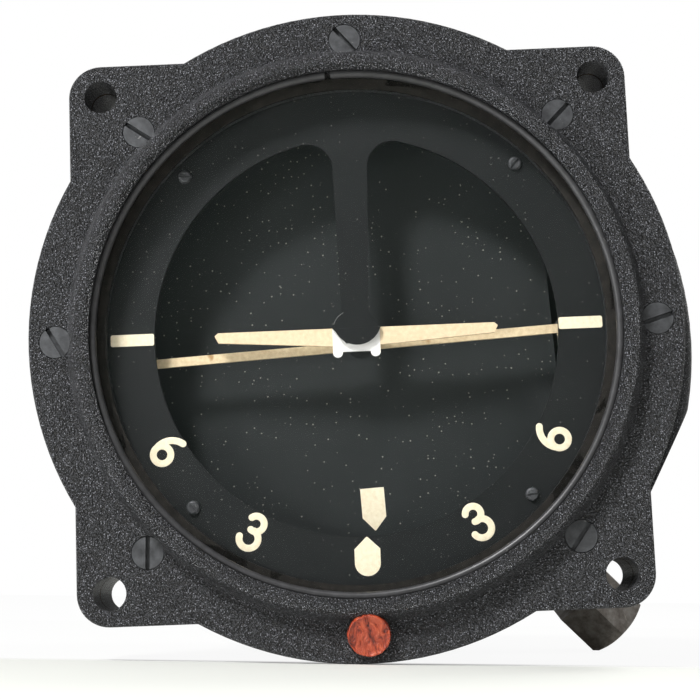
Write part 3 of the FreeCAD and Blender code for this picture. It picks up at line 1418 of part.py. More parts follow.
def erector():
    """The pendulous cup under the can, with four ports half covered by hanging vanes."""
    top = -s.can_bottom
    bottom = top - s.erector_height
    body = piece("erector_body")
    profile = draw(body, "XZ_Plane")
    inner = s.erector_radius - s.erector_wall
    polygon(profile, [(0, bottom), (s.erector_radius, bottom), (s.erector_radius, top), (inner, top),
                      (inner, bottom + s.erector_wall), (0, bottom + s.erector_wall)])
    revolve(body, profile, "V_Axis")
    half = s.port_width / 2
    for plane, drop in (("YZ_Plane", side_vane_at), ("XZ_Plane", end_vane_at)):
        port = draw(body, plane, -s.erector_radius)
        port_top = drop - s.vane_shaft_radius * 2
        rectangle(port, -half, port_top - s.port_height / 2, half, port_top)
        cut(body, port, s.erector_radius * 2)
        shaft_hole = draw(body, plane, -s.erector_radius)
        circle(shaft_hole, 0, drop, s.vane_shaft_radius + s.running_gap)
        cut(body, shaft_hole, s.erector_radius * 2)
    seat(body, CAN, (0, pitch_axis_at, 0))

    sets = (("side", TO_RIGHT, X_AXIS, side_vane_at, SIDE_VANES),
            ("end", TO_REAR, Y_AXIS, end_vane_at, END_VANES))
    for name, turn, axis, drop, frame in sets:
        at = (0, pitch_axis_at, drop)
        reach = s.erector_radius + s.running_gap * 6 + s.vane_depth
        shaft = piece(f"{name}_vane_shaft")
        rod = draw(shaft, "XY_Plane", -reach)
        circle(rod, 0, 0, s.vane_shaft_radius)
        pad(shaft, rod, reach * 2)
        seat(shaft, frame, at, turn)
        members = []
        for side in (-1, 1):
            vane = piece(f"{name}_vane_{side + 2}")
            plane = "YZ_Plane" if name == "side" else "XZ_Plane"
            start = s.erector_radius + s.running_gap * 6 if side > 0 else -reach
            blade = draw(vane, plane, start)
            rectangle(blade, 0, -s.vane_length, s.vane_width * side, s.vane_shaft_radius)
            pad(vane, blade, s.vane_depth)
            eye = draw(vane, plane, start)
            circle(eye, 0, 0, s.vane_shaft_radius * 2)
            pad(vane, eye, s.vane_depth)
            bore = draw(vane, plane, start)
            circle(bore, 0, 0, s.vane_shaft_radius)
            cut(vane, bore, s.vane_depth)
            members.append(seat(vane, frame, at, keep=False))
        seat(together(f"{name}_vanes", members))


# ---------------------------------------------------------------- rear cover, filter and union

rear_gasket_front = case_back
rear_cover_front = rear_gasket_front + s.rear_gasket_depth
filter_front = rear_cover_front + s.rear_cover_depth
inlet_radius = s.filter_radius - s.filter_wall * 2


def rear_cover():
    body = piece("rear_cover")
    disc = draw(body, "XZ_Plane")
    circle(disc, 0, 0, s.rear_cover_radius)
    circle(disc, 0, 0, inlet_radius)
    pad(body, disc, s.rear_cover_depth)
    soften(body, "Chamfer", lambda edge: at_depth(edge, s.rear_cover_depth)
           and is_round(edge, s.rear_cover_radius), s.edge_round)
    ring_of_holes(body, 0, s.rear_cover_depth, s.rear_screw_circle,
                  s.rear_screw_radius + s.screw_gap, s.rear_screw_count)
    seat(body, at=(0, rear_cover_front, 0))

    gasket = piece("rear_gasket")
    disc = draw(gasket, "XZ_Plane")
    circle(disc, 0, 0, s.rear_cover_radius)
    circle(disc, 0, 0, inlet_radius)
    pad(gasket, disc, s.rear_gasket_depth)
    ring_of_holes(gasket, 0, s.rear_gasket_depth, s.rear_screw_circle,
                  s.rear_screw_radius + s.screw_gap, s.rear_screw_count)
    seat(gasket, at=(0, rear_gasket_front, 0))

    places = []
    count = int(s.rear_screw_count.value)
    for i in range(count):
        angle = 360.0 * i / count
        point = (s.rear_screw_circle * cos(angle), filter_front, s.rear_screw_circle * sin(angle))
        places.append((point, angle + 25))
    screw_group("rear_cover_screws", places, TO_REAR, s.rear_screw_head_radius,
                s.rear_screw_head_depth, s.rear_screw_radius, s.rear_screw_length, domed=True)


def air_filter():
    """A pierced cup on the rear cover, a sleeve of gauze inside it, and a screwed-on cap."""
    body = piece("filter_body")
    ring = draw(body, "XZ_Plane")
    circle(ring, 0, 0, s.filter_radius)
    circle(ring, 0, 0, s.filter_radius - s.filter_wall)
    pad(body, ring, s.filter_depth)
    hole = draw(body, "XY_Plane")
    circle(hole, 0, s.filter_depth / 2, s.filter_hole_radius)
    drilled = cut(body, hole, s.filter_radius + 1)
    pattern = body.newObject("PartDesign::PolarPattern", "filter_body_pattern")
    pattern.Originals = [drilled]
    pattern.Axis = (hole, ["V_Axis"])
    pattern.Angle = 360.0
    pattern.Occurrences = int(s.filter_hole_count.value)
    pattern.setExpression("Occurrences", s.filter_hole_count.formula)
    body.Tip = pattern
    doc.recompute()
    seat(body, at=(0, filter_front, 0))
    gauze_outer = s.filter_radius - s.filter_wall
    flat_ring("filter_gauze", filter_front, s.filter_depth, gauze_outer - s.filter_wall / 2, gauze_outer)
    cap = piece("filter_cap")
    profile = draw(cap, "XY_Plane")
    lip = s.filter_radius + s.filter_wall
    polygon(profile, [(0, 0), (lip, 0), (lip, s.filter_wall), (lip - s.filter_wall, s.filter_wall * 2),
                      (0, s.filter_wall * 2)])
    revolve(cap, profile, "V_Axis")
    seat(cap, at=(0, filter_front + s.filter_depth, 0))


def suction_union():
    """The nipple screwed into the case boss, and the hexagon nut for the suction pipe."""
    nipple_start = s.case_inner_radius + 2
    nipple_end = s.union_nut_start + s.union_grip
    nipple = piece("suction_nipple")
    tube = draw(nipple, "XY_Plane", nipple_start)
    circle(tube, 0, 0, s.nipple_radius)
    circle(tube, 0, 0, s.nipple_bore_radius)
    pad(nipple, tube, nipple_end - nipple_start)
    nipple.Placement = UNION_FRAME
    nodes.append(nipple)

    nut = piece("suction_nut")
    nut_end = s.union_nut_start + s.union_nut_length
    corner = s.union_flats / (2 * cos(30))
    hexagon = draw(nut, "XY_Plane", s.union_nut_start)
    polygon(hexagon, [(corner * cos(60 * i + s.union_turn), corner * sin(60 * i + s.union_turn))
                      for i in range(6)])
    pad(nut, hexagon, s.union_nut_length)
    corner_cut = draw(nut, "XZ_Plane")
    slope = (corner + 1 - s.union_flats / 2) / 2
    polygon(corner_cut, [(s.union_flats / 2, nut_end), (corner + 1, nut_end - slope),
                         (corner + 1, nut_end + 1), (s.union_flats / 2, nut_end + 1)])
    groove(nut, corner_cut, "V_Axis")
    grip = draw(nut, "XY_Plane", s.union_nut_start)
    circle(grip, 0, 0, s.nipple_radius + s.fit_gap)
    cut(nut, grip, s.union_grip)
    mouth = draw(nut, "XY_Plane", s.union_nut_start)
    circle(mouth, 0, 0, s.pipe_bore_radius)
    cut(nut, mouth, s.union_nut_length)
    nut.Placement = UNION_FRAME
    nodes.append(nut)


# ---------------------------------------------------------------- the whole instrument

def build():
    front_cover()
    snap_ring()
    flat_ring("cover_glass", glass_front, s.glass_depth, None, s.glass_radius)
    flat_ring("glass_gasket", glass_back, s.glass_gasket_depth, s.seat_radius, s.glass_radius)
    dial_mask()
    mask_carrier()
    aircraft_symbol()
    mask_screws()
    cover_gasket()
    cover_screws()
    wax_seal()
    case_body()
    bearing_bridge()
    bridge_screws()
    gimbal_ring()
    roll_pivots()
    roll_stop()
    sky_plate()
    horizon_arm()
    arm_pivot_pin()
    horizon_bar()
    rotor_can()
    can_cover()
    can_screws()
    trunnions()
    guide_pin()
    air_jets()
    rotor()
    erector()
    bearings()
    rear_cover()
    air_filter()
    suction_union()


def check_and_write():
    doc.recompute()
    for item in doc.Objects:
        if "Invalid" in item.State or "Error" in item.State:
            raise RuntimeError(f"{item.Label} failed: {item.State}")
    labels = [item.Label for item in nodes]
    if len(set(labels)) != len(labels):
        raise RuntimeError("two sub-parts share a label")
    os.makedirs("parts", exist_ok=True)
    for item in nodes:
        if item.Shape.isNull() or not item.Shape.isValid():
            raise RuntimeError(f"{item.Label} has no valid shape")
        item.Shape.exportStep(f"parts/{item.Label}.step")


build()
check_and_write()
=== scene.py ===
"""Attitude indicator with a suction-driven gyro: the finishes, painted marks and wax, over the CAD pieces."""
import math

import bpy
from mathutils import Matrix, Vector


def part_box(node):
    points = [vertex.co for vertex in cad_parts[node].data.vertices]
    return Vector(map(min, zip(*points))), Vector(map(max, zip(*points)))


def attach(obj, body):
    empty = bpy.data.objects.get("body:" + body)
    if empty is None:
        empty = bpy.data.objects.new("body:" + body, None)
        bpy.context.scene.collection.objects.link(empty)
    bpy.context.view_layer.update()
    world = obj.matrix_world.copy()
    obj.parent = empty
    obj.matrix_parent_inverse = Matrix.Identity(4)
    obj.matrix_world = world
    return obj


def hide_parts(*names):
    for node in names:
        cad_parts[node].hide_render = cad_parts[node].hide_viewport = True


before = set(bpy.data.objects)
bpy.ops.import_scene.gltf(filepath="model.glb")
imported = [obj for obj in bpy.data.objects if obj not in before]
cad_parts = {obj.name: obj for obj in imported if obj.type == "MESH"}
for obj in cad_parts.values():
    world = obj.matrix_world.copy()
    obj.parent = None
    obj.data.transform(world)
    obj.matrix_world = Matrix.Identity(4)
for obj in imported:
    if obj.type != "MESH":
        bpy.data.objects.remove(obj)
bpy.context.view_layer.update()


# ---------------------------------------------------------------- camera and table
# The instrument rests on the rim of its flange and on the nut of its suction union, so it leans by a few
# degrees. The eye is a little below the dial's centre and looks slightly up.
eye_place = (0.0029, -0.3490, -0.0541)
yaw, pitch, roll = math.radians(-0.7), math.radians(8.15), math.radians(-2.22)
lens = bpy.data.cameras.new("camera")
lens.lens = 87.2
lens.sensor_width = 36.0
camera = bpy.data.objects.new("camera", lens)
bpy.context.collection.objects.link(camera)
forward = Vector((math.sin(yaw) * math.cos(pitch), math.cos(yaw) * math.cos(pitch), math.sin(pitch)))
level_right = Vector((math.cos(yaw), -math.sin(yaw), 0.0))
level_up = level_right.cross(forward)
right = math.cos(roll) * level_right + math.sin(roll) * level_up
up = math.cos(roll) * level_up - math.sin(roll) * level_right
camera.matrix_world = Matrix((
    (right.x, up.x, -forward.x, eye_place[0]),
    (right.y, up.y, -forward.y, eye_place[1]),
    (right.z, up.z, -forward.z, eye_place[2]),
    (0.0, 0.0, 0.0, 1.0),
))
bpy.context.scene.camera = camera


def painted(finish_name, roughness, metallic=0.0, specular=0.5):
    """A new finish with its plain values set: returns the material, its node tree and its shader."""
    finish = bpy.data.materials.new(finish_name)
    finish.use_nodes = True
    surface = finish.node_tree.nodes["Principled BSDF"]
    surface.inputs["Roughness"].default_value = roughness
    surface.inputs["Metallic"].default_value = metallic
    surface.inputs["Specular IOR Level"].default_value = specular
    return finish, finish.node_tree, surface


def brush(tree, kind, settings=None, **values):
    """A node of that kind, with its settings and its inputs' values."""
    made = tree.nodes.new("ShaderNode" + kind)
    for setting, choice in (settings or {}).items():
        setattr(made, setting, choice)
    for label, value in values.items():
        made.inputs[label.replace("_", " ")].default_value = value
    return made


def on_piece(tree, kind, settings=None, **values):
    """A node of that kind that works in the piece's own coordinates."""
    made = brush(tree, kind, settings, **values)
    tree.links.new(brush(tree, "TexCoord").outputs["Object"], made.inputs["Vector"])
    return made


def sum_of(tree, operation, first, second=0.0):
    """A Math node on two values, each a number or another node's output."""
    made = brush(tree, "Math", {"operation": operation})
    for socket, value in zip(made.inputs, (first, second)):
        if isinstance(value, (int, float)):
            socket.default_value = value
        else:
            tree.links.new(value, socket)
    return made.outputs["Value"]


table_height = -0.0686
table_lean = math.radians(2.9)
white = (1.0, 1.0, 1.0, 1.0)
bpy.ops.mesh.primitive_plane_add(size=6.0, location=(0.0, 0.0, table_height),
                                 rotation=(0.0, table_lean, 0.0))
table = bpy.context.active_object
table.name = "table"
table_white, paper, paper_shader = painted("table_white", 0.7)
paper_shader.inputs["Base Color"].default_value = (0.77, 0.78, 0.74, 1.0)

# behind the flange, and far from it, the paper looks plain white, with only a trace of shadow left
depth = on_piece(paper, "SeparateXYZ")
distance = on_piece(paper, "VectorMath", {"operation": "LENGTH"})
behind = brush(paper, "MapRange", From_Min=0.0, From_Max=0.012, To_Max=0.93)
far = brush(paper, "MapRange", From_Min=0.20, From_Max=0.45, To_Max=0.97)
paper.links.new(depth.outputs["Y"], behind.inputs["Value"])
paper.links.new(distance.outputs["Value"], far.inputs["Value"])
bleached = sum_of(paper, "MAXIMUM", behind.outputs["Result"], far.outputs["Result"])
seen = sum_of(paper, "MULTIPLY", bleached, brush(paper, "LightPath").outputs["Is Camera Ray"])
glow = brush(paper, "Emission", Color=white, Strength=1.0)
both = brush(paper, "MixShader")
paper.links.new(seen, both.inputs["Fac"])
paper.links.new(paper_shader.outputs["BSDF"], both.inputs[1])
paper.links.new(glow.outputs["Emission"], both.inputs[2])
paper.links.new(both.outputs["Shader"], paper.nodes["Material Output"].inputs["Surface"])
table.data.materials.append(table_white)


# ---------------------------------------------------------------- light
# A white studio. A small lamp high on the left throws the shadow of the mask on to the sky plate, a soft
# panel near the left side brings out the grain of the enamel, and a broad one lights the back.
world = bpy.data.worlds.new("studio")
world.use_nodes = True
sky = world.node_tree
surround = sky.nodes["Background"]
surround.inputs["Color"].default_value = white
surround.inputs["Strength"].default_value = 0.30
backdrop = brush(sky, "Background", Color=white, Strength=1.0)
choose = brush(sky, "MixShader")
sky.links.new(brush(sky, "LightPath").outputs["Is Camera Ray"], choose.inputs["Fac"])
sky.links.new(surround.outputs["Background"], choose.inputs[1])
sky.links.new(backdrop.outputs["Background"], choose.inputs[2])
sky.links.new(choose.outputs["Shader"], sky.nodes["World Output"].inputs["Surface"])
bpy.context.scene.world = world
bpy.context.scene.view_settings.view_transform = "Standard"

for lamp_name, place, size, power in (
    ("key_lamp", (-0.42, -0.60, 0.82), 0.22, 15.5),
    ("side_panel", (-0.37, -0.32, -0.05), 0.26, 1.7),
    ("back_panel", (0.75, 0.95, 0.85), 0.8, 8.0),
):
    lamp = bpy.data.lights.new(lamp_name, "AREA")
    lamp.shape = "DISK"
    lamp.size = size
    lamp.energy = power
    fitting = bpy.data.objects.new(lamp_name, lamp)
    fitting.location = place
    fitting.rotation_euler = (-Vector(place)).to_track_quat("-Z", "Y").to_euler()
    bpy.context.collection.objects.link(fitting)


# ---------------------------------------------------------------- castings in crackle enamel
# Case, front cover and rear cover are cast alloy under a thick black enamel that dried into hard round
# grains about a third of a millimetre across. The grains are painted dark in their pits and paler on their
# tops, a painted shade, and a few grain tops carry painted glints.
def shades(tree, factor, *stops):
    """A colour ramp over factor, with stops of (position, (red, green, blue))."""
    ramp = brush(tree, "ValToRGB")
    tree.links.new(factor, ramp.inputs["Fac"])
    steps = ramp.color_ramp.elements
    for number, (position, colour) in enumerate(stops):
        stop = steps[number] if number < 2 else steps.new(position)
        stop.position = position
        stop.color = (*colour, 1.0)
    return ramp.outputs["Color"]


def laid_over(tree, under, over, mask):
    """The plain colour over, laid on colour under where the mask is 1."""
    layer = brush(tree, "Mix", {"data_type": "RGBA"})
    tree.links.new(under, layer.inputs["A"])
    layer.inputs["B"].default_value = (*over, 1.0)
    tree.links.new(mask, layer.inputs["Factor"])
    return layer.outputs["Result"]


def relief(tree, height, depth, strength=1.0):
    """Bumps as deep as depth, in metres, where height goes from 0 to 1."""
    bump = brush(tree, "Bump", Strength=strength, Distance=depth)
    tree.links.new(height, bump.inputs["Height"])
    return bump.outputs["Normal"]


def pattern(group_name, scales, results):
    """A new shader node group with its named inputs and outputs."""
    group = bpy.data.node_groups.new(group_name, "ShaderNodeTree")
    for label, value in scales.items():
        socket = group.interface.new_socket(label, in_out="INPUT", socket_type="NodeSocketFloat")
        socket.default_value = value
    for label in results:
        group.interface.new_socket(label, in_out="OUTPUT", socket_type="NodeSocketFloat")
    return group, group.nodes.new("NodeGroupInput"), group.nodes.new("NodeGroupOutput")


def placed(tree, group, **values):
    """That pattern, placed in a finish with its own values."""
    made = tree.nodes.new("ShaderNodeGroup")
    made.node_tree = group
    for label, value in values.items():
        made.inputs[label].default_value = value
    return made


def dress(finish, *pieces):
    """Puts a finish on pieces of the CAD model."""
    for piece in pieces:
        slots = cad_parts[piece].data.materials
        slots.clear()
        slots.append(finish)


pit_floor, glint_above, crown_above = 0.35, 0.74, 0.66
grains, _, results = pattern("Enamel_Grains", {}, ("Height", "Glint"))
domes = on_piece(grains, "TexVoronoi", Scale=2900.0)
pits = on_piece(grains, "TexNoise", Scale=3300.0, Detail=3.0)
shared = brush(grains, "SeparateColor")
grains.links.new(domes.outputs["Color"], shared.inputs["Color"])
dome = sum_of(grains, "SUBTRACT", 1.0, domes.outputs["Distance"])
pitted = sum_of(grains, "ADD", pits.outputs["Fac"], pit_floor)
# a few grains, picked at random, get a painted glint on their tops
glinting_grain = sum_of(grains, "GREATER_THAN", shared.outputs["Red"], glint_above)
crown = sum_of(grains, "GREATER_THAN", dome, crown_above)
grains.links.new(sum_of(grains, "MULTIPLY", dome, pitted), results.inputs["Height"])
grains.links.new(sum_of(grains, "MULTIPLY", glinting_grain, crown), results.inputs["Glint"])

grain_depth = 0.00055
crackle, tree, shader = painted("crackle_enamel", 0.34)
grain = placed(tree, grains)
# near black in the pits to dark grey on the grain tops: painted shade, not a colour of the enamel
deep = shades(tree, grain.outputs["Height"],
              (0.34, (0.003, 0.003, 0.0035)), (0.66, (0.070, 0.072, 0.080)))
# the glinting grain tops are painted pale grey, a painted highlight
painted_glints = laid_over(tree, deep, (0.25, 0.255, 0.28), grain.outputs["Glint"])
tree.links.new(painted_glints, shader.inputs["Base Color"])
tree.links.new(relief(tree, grain.outputs["Height"], grain_depth), shader.inputs["Normal"])
dress(crackle, "case_body", "front_cover", "rear_cover")


# ---------------------------------------------------------------- gaskets and buffers
# Sheet cork bound with rubber lies under the covers, and its cut edges show flecks of cork. The glass is
# bedded on a ring of black rubber, and the roll stops land on two buffers of the same.
fleck_depth, bloom_depth = 0.0001, 0.00005
cork, tree, shader = painted("cork_rubber", 0.9, specular=0.25)
flecks = on_piece(tree, "TexVoronoi", Scale=1500.0)
fleck_shade = brush(tree, "SeparateColor")
tree.links.new(flecks.outputs["Color"], fleck_shade.inputs["Color"])
cork_colour = shades(tree, fleck_shade.outputs["Green"], (0.0, (0.030, 0.022, 0.016)),
                     (0.7, (0.085, 0.058, 0.036)), (1.0, (0.21, 0.13, 0.07)))
tree.links.new(cork_colour, shader.inputs["Base Color"])
tree.links.new(relief(tree, flecks.outputs["Distance"], fleck_depth, strength=0.6), shader.inputs["Normal"])
dress(cork, "cover_gasket", "rear_gasket")

rubber, tree, shader = painted("black_rubber", 0.8, specular=0.2)
bloom = on_piece(tree, "TexNoise", Scale=500.0, Detail=4.0)
rubber_colour = shades(tree, bloom.outputs["Fac"],
                       (0.30, (0.010, 0.009, 0.008)), (0.75, (0.030, 0.027, 0.023)))
tree.links.new(rubber_colour, shader.inputs["Base Color"])
tree.links.new(relief(tree, bloom.outputs["Fac"], bloom_depth, strength=0.5), shader.inputs["Normal"])
dress(rubber, "glass_gasket", "rubber_buffers")


# ---------------------------------------------------------------- screws and snap ring
# Cheese-head screws of blackened steel hold the covers, the mask and the bridge. The blacking has rubbed
# grey on the heads. The snap ring that keeps the glass is spring wire, blacked and then left alone.
cloud_scale, score_scale, scored_above = 420.0, 300.0, 0.70
wear, scale, results = pattern("Metal_Wear", {"Scale": 1.0}, ("Cloud", "Scratch", "Height"))
clouds = on_piece(wear, "TexNoise", Detail=6.0, Roughness=0.65)
stretched = on_piece(wear, "Mapping", Rotation=(0.4, 0.9, 0.6), Scale=(1.0, 9.0, 1.0))
scores = brush(wear, "TexNoise", Detail=3.0, Roughness=0.6, Distortion=1.2)
wear.links.new(stretched.outputs["Vector"], scores.inputs["Vector"])
wear.links.new(sum_of(wear, "MULTIPLY", scale.outputs["Scale"], cloud_scale), clouds.inputs["Scale"])
wear.links.new(sum_of(wear, "MULTIPLY", scale.outputs["Scale"], score_scale), scores.inputs["Scale"])
score = sum_of(wear, "GREATER_THAN", scores.outputs["Fac"], scored_above)
wear.links.new(clouds.outputs["Fac"], results.inputs["Cloud"])
wear.links.new(score, results.inputs["Scratch"])
wear.links.new(sum_of(wear, "SUBTRACT", clouds.outputs["Fac"], score), results.inputs["Height"])


def metal(finish_name, dull, light, scored, roughness, metallic, depth=0.00004):
    """A metal finish that clouds from dull to light, with scores of its own colour."""
    finish, tree, surface = painted(finish_name, roughness, metallic)
    worn = placed(tree, wear)
    body = shades(tree, worn.outputs["Cloud"], (0.30, dull), (0.72, light))
    marked = laid_over(tree, body, scored, worn.outputs["Scratch"])
    tree.links.new(marked, surface.inputs["Base Color"])
    tree.links.new(relief(tree, worn.outputs["Height"], depth, strength=0.6), surface.inputs["Normal"])
    return finish


blacked = metal("blacked_screw", dull=(0.020, 0.021, 0.023), light=(0.085, 0.088, 0.094),
                scored=(0.15, 0.15, 0.15), roughness=0.5, metallic=0.3)
dress(blacked, "cover_screws", "mask_screws", "rear_cover_screws", "bridge_screws")
spring_wire = metal("spring_wire", dull=(0.030, 0.030, 0.031), light=(0.055, 0.055, 0.058),
                    scored=(0.10, 0.10, 0.10), roughness=0.40, metallic=0.2)
dress(spring_wire, "snap_ring")


# ---------------------------------------------------------------- glass
# A disc of plain plate glass, cleaned, with only its reflections and a trace of haze to show that it is
# there.
plate_glass, tree, shader = painted("plate_glass", 0.02)
haze = on_piece(tree, "TexNoise", Scale=45.0, Detail=5.0)
tint = shades(tree, haze.outputs["Fac"], (0.35, (0.030, 0.045, 0.040)), (0.70, (0.050, 0.062, 0.055)))
tree.links.new(tint, shader.inputs["Base Color"])
shader.inputs["Alpha"].default_value = 0.03
dress(plate_glass, "cover_glass")


# ---------------------------------------------------------------- mask and its carrier
# The fixed mask is thin alloy sheet, and its stem comes down from the top to a hub in front of the
# aircraft symbol. Mask and carrier ring were sprayed satin black, and a few grains of dust lie on them.
mote_size = 0.115
dust, amount, results = pattern("Dust", {"Share": 0.9}, ("Cloud", "Speck"))
film = on_piece(dust, "TexNoise", Scale=70.0, Detail=5.0)
facing = on_piece(dust, "Mapping", Rotation=(math.pi / 2, 0.0, 0.0))
motes = brush(dust, "TexVoronoi", {"voronoi_dimensions": "2D"}, Scale=620.0)
mote = brush(dust, "SeparateColor")
dust.links.new(facing.outputs["Vector"], motes.inputs["Vector"])
dust.links.new(motes.outputs["Color"], mote.inputs["Color"])
widest = sum_of(dust, "MULTIPLY", mote.outputs["Blue"], mote_size)
small = sum_of(dust, "LESS_THAN", motes.outputs["Distance"], widest)
rare = sum_of(dust, "GREATER_THAN", mote.outputs["Red"], amount.outputs["Share"])
dust.links.new(film.outputs["Fac"], results.inputs["Cloud"])
dust.links.new(sum_of(dust, "MULTIPLY", small, rare), results.inputs["Speck"])


def dusty_black(finish_name, roughness, specular, bare_share, dark, light, speck):
    """Satin black paint with a film of dust and loose grains, which are fewer as the bare share rises."""
    finish, tree, surface = painted(finish_name, roughness, specular=specular)
    dusty = placed(tree, dust, Share=bare_share)
    filmed = shades(tree, dusty.outputs["Cloud"], (0.30, dark), (0.70, light))
    specked = laid_over(tree, filmed, speck, dusty.outputs["Speck"])
    tree.links.new(specked, surface.inputs["Base Color"])
    tree.links.new(relief(tree, dusty.outputs["Speck"], depth=0.00005, strength=0.5),
                   surface.inputs["Normal"])
    return finish


dial_black = dusty_black("dial_black", roughness=0.55, specular=0.2, bare_share=0.72,
                         dark=(0.0085, 0.0098, 0.0103), light=(0.0112, 0.0125, 0.0130),
                         speck=(0.10, 0.10, 0.092))
dress(dial_black, "dial_mask", "mask_carrier")
mask_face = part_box("dial_mask")[0][1]
upright = (math.pi / 2, 0.0, 0.0)


def shaped(primitive, piece_name, **measures):
    """A new primitive with its place and turn applied, so its origin is the frame's."""
    bpy.ops.object.select_all(action="DESELECT")
    primitive(**measures)
    made = bpy.context.active_object
    made.name = piece_name
    bpy.ops.object.transform_apply(location=True, rotation=True, scale=True)
    return made


def pick(kind, wanted):
    """In edit mode, selects only the edges or faces that lie wholly where wanted(place) is true."""
    bpy.ops.mesh.select_mode(type="VERT")
    bpy.ops.mesh.select_all(action="DESELECT")
    bpy.ops.object.mode_set(mode="OBJECT")
    mesh = bpy.context.active_object.data
    for part in getattr(mesh, kind):
        part.select = all(wanted(mesh.vertices[i].co) for i in part.vertices)
    bpy.ops.object.mode_set(mode="EDIT")


# the hub's lower edge is a round lip, and a thin bright strip along its upper left edge is a painted
# highlight
lip_radius, lip_thickness, lip_edge = 0.0051, 0.0003, 0.00005
lip_middle, lip_top = (0.0003, mask_face + 0.0001, 0.00275), 0.0012
hub_lip = shaped(bpy.ops.mesh.primitive_cylinder_add, "hub_lip", vertices=64, radius=lip_radius,
                 depth=lip_thickness, rotation=upright, location=lip_middle)
bpy.ops.object.mode_set(mode="EDIT")
bpy.ops.mesh.select_all(action="SELECT")
bpy.ops.mesh.bisect(plane_co=(0.0, mask_face, lip_top), plane_no=(0.0, 0.0, 1.0), clear_outer=True,
                    use_fill=True)
pick("edges", lambda place: place.y < mask_face)
bpy.ops.mesh.bevel(offset=lip_edge, segments=2, affect="EDGES")
bpy.ops.object.mode_set(mode="OBJECT")
hub_lip.data.materials.append(dial_black)
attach(hub_lip, "case")

# a thin strip of bright metal laid on the hub's upper left edge: a painted highlight where the light catches
# it
highlight_middle, highlight_radius, highlight_half_width = (-0.00099, mask_face, 0.00105), 0.0038, 0.00007
highlight_start, highlight_length = math.radians(113), math.radians(52)
hub_highlight = shaped(bpy.ops.mesh.primitive_circle_add, "hub_edge_highlight", vertices=8, radius=highlight_half_width,
             fill_type="NGON", location=(highlight_middle[0] + highlight_radius * math.cos(highlight_start), mask_face,
                                         highlight_middle[2] + highlight_radius * math.sin(highlight_start)))
bpy.ops.object.mode_set(mode="EDIT")
bpy.ops.mesh.select_all(action="SELECT")
bpy.ops.mesh.spin(steps=14, angle=highlight_length, center=highlight_middle, axis=(0.0, 1.0, 0.0))
bpy.ops.mesh.select_all(action="SELECT")
bpy.ops.mesh.remove_doubles(threshold=0.000001)
bpy.ops.mesh.normals_make_consistent(inside=False)
bpy.ops.object.mode_set(mode="OBJECT")
hub_highlight.data.materials.append(metal("painted_edge_highlight", dull=(0.30, 0.30, 0.29), light=(0.62, 0.62, 0.60),
                                scored=(0.7, 0.7, 0.7), roughness=0.4, metallic=0.3))
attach(hub_highlight, "case")


# ---------------------------------------------------------------- aircraft symbol
# Wings and saddle are one sheet-metal stamping behind the hub. The wings carry aged cream paint with a
# brushed grain and a few brown stains; the saddle between them is coloured a brighter white.
def cream_paint(finish_name, dark, light, clean_share):
    """Aged cream paint, less stained as the clean share rises: material, tree, shader and colour."""
    finish, tree, surface = painted(finish_name, 0.6, specular=0.3)
    bristles = on_piece(tree, "TexNoise", Scale=1100.0, Detail=3.0)
    blots = on_piece(tree, "TexNoise", Scale=150.0, Detail=3.0)
    cream = shades(tree, bristles.outputs["Fac"], (0.30, dark), (0.68, light))
    stain = shades(tree, blots.outputs["Fac"],
                   (clean_share, (0.0, 0.0, 0.0)), (clean_share + 0.05, (1.0, 1.0, 1.0)))
    tree.links.new(relief(tree, bristles.outputs["Fac"], depth=0.00005, strength=0.6),
                   surface.inputs["Normal"])
    return finish, tree, surface, laid_over(tree, cream, (0.45, 0.27, 0.12), stain)


saddle_half_width = 0.0050
symbol_cream, tree, shader, colour = cream_paint("symbol_cream", dark=(0.74, 0.58, 0.37),
                                                 light=(0.84, 0.68, 0.46), clean_share=0.70)
off_middle = sum_of(tree, "ABSOLUTE", on_piece(tree, "SeparateXYZ").outputs["X"])
saddle = sum_of(tree, "LESS_THAN", off_middle, saddle_half_width)
tree.links.new(laid_over(tree, colour, (0.93, 0.92, 0.90), saddle), shader.inputs["Base Color"])
dress(symbol_cream, "aircraft_symbol")


# ---------------------------------------------------------------- marks of the bank scale
# A bar at each side, the bottom index and the numerals 3 and 6, at 30 and 60 degrees, are laid on the mask
# in the same cream paint, thick enough to stand proud of the black.
mark_cream, tree, shader, colour = cream_paint("mark_cream", dark=(0.86, 0.75, 0.53),
                                               light=(0.96, 0.87, 0.66), clean_share=0.74)
tree.links.new(colour, shader.inputs["Base Color"])
paint_depth = 0.00008


def flat_bar(bar_name, middle, width, height):
    """A flat upright rectangle, left in edit mode."""
    bar = shaped(bpy.ops.mesh.primitive_plane_add, bar_name, size=1.0, location=middle, rotation=upright)
    bpy.ops.object.mode_set(mode="EDIT")
    bpy.ops.mesh.select_all(action="SELECT")
    bpy.ops.transform.resize(value=(width, 1.0, height))
    return bar


def chosen(piece):
    """Selects that piece alone and makes it the active one."""
    bpy.ops.object.select_all(action="DESELECT")
    piece.select_set(True)
    bpy.context.view_layer.objects.active = piece


def twin(piece, twin_name):
    """A copy of a piece, with a mesh of its own."""
    chosen(piece)
    bpy.ops.object.duplicate()
    made = bpy.context.active_object
    made.name = twin_name
    return made


def laid_down(mark, body):
    """Thickens a flat mark to the paint's depth, half of it forwards, and lets it ride on its body."""
    chosen(mark)
    coat = mark.modifiers.new("coat", "SOLIDIFY")
    coat.thickness = paint_depth
    coat.offset = 0.0
    bpy.ops.object.modifier_apply(modifier="coat")
    bpy.ops.object.transform_apply(location=True, rotation=True, scale=True)
    mark.data.materials.append(mark_cream)
    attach(mark, body)


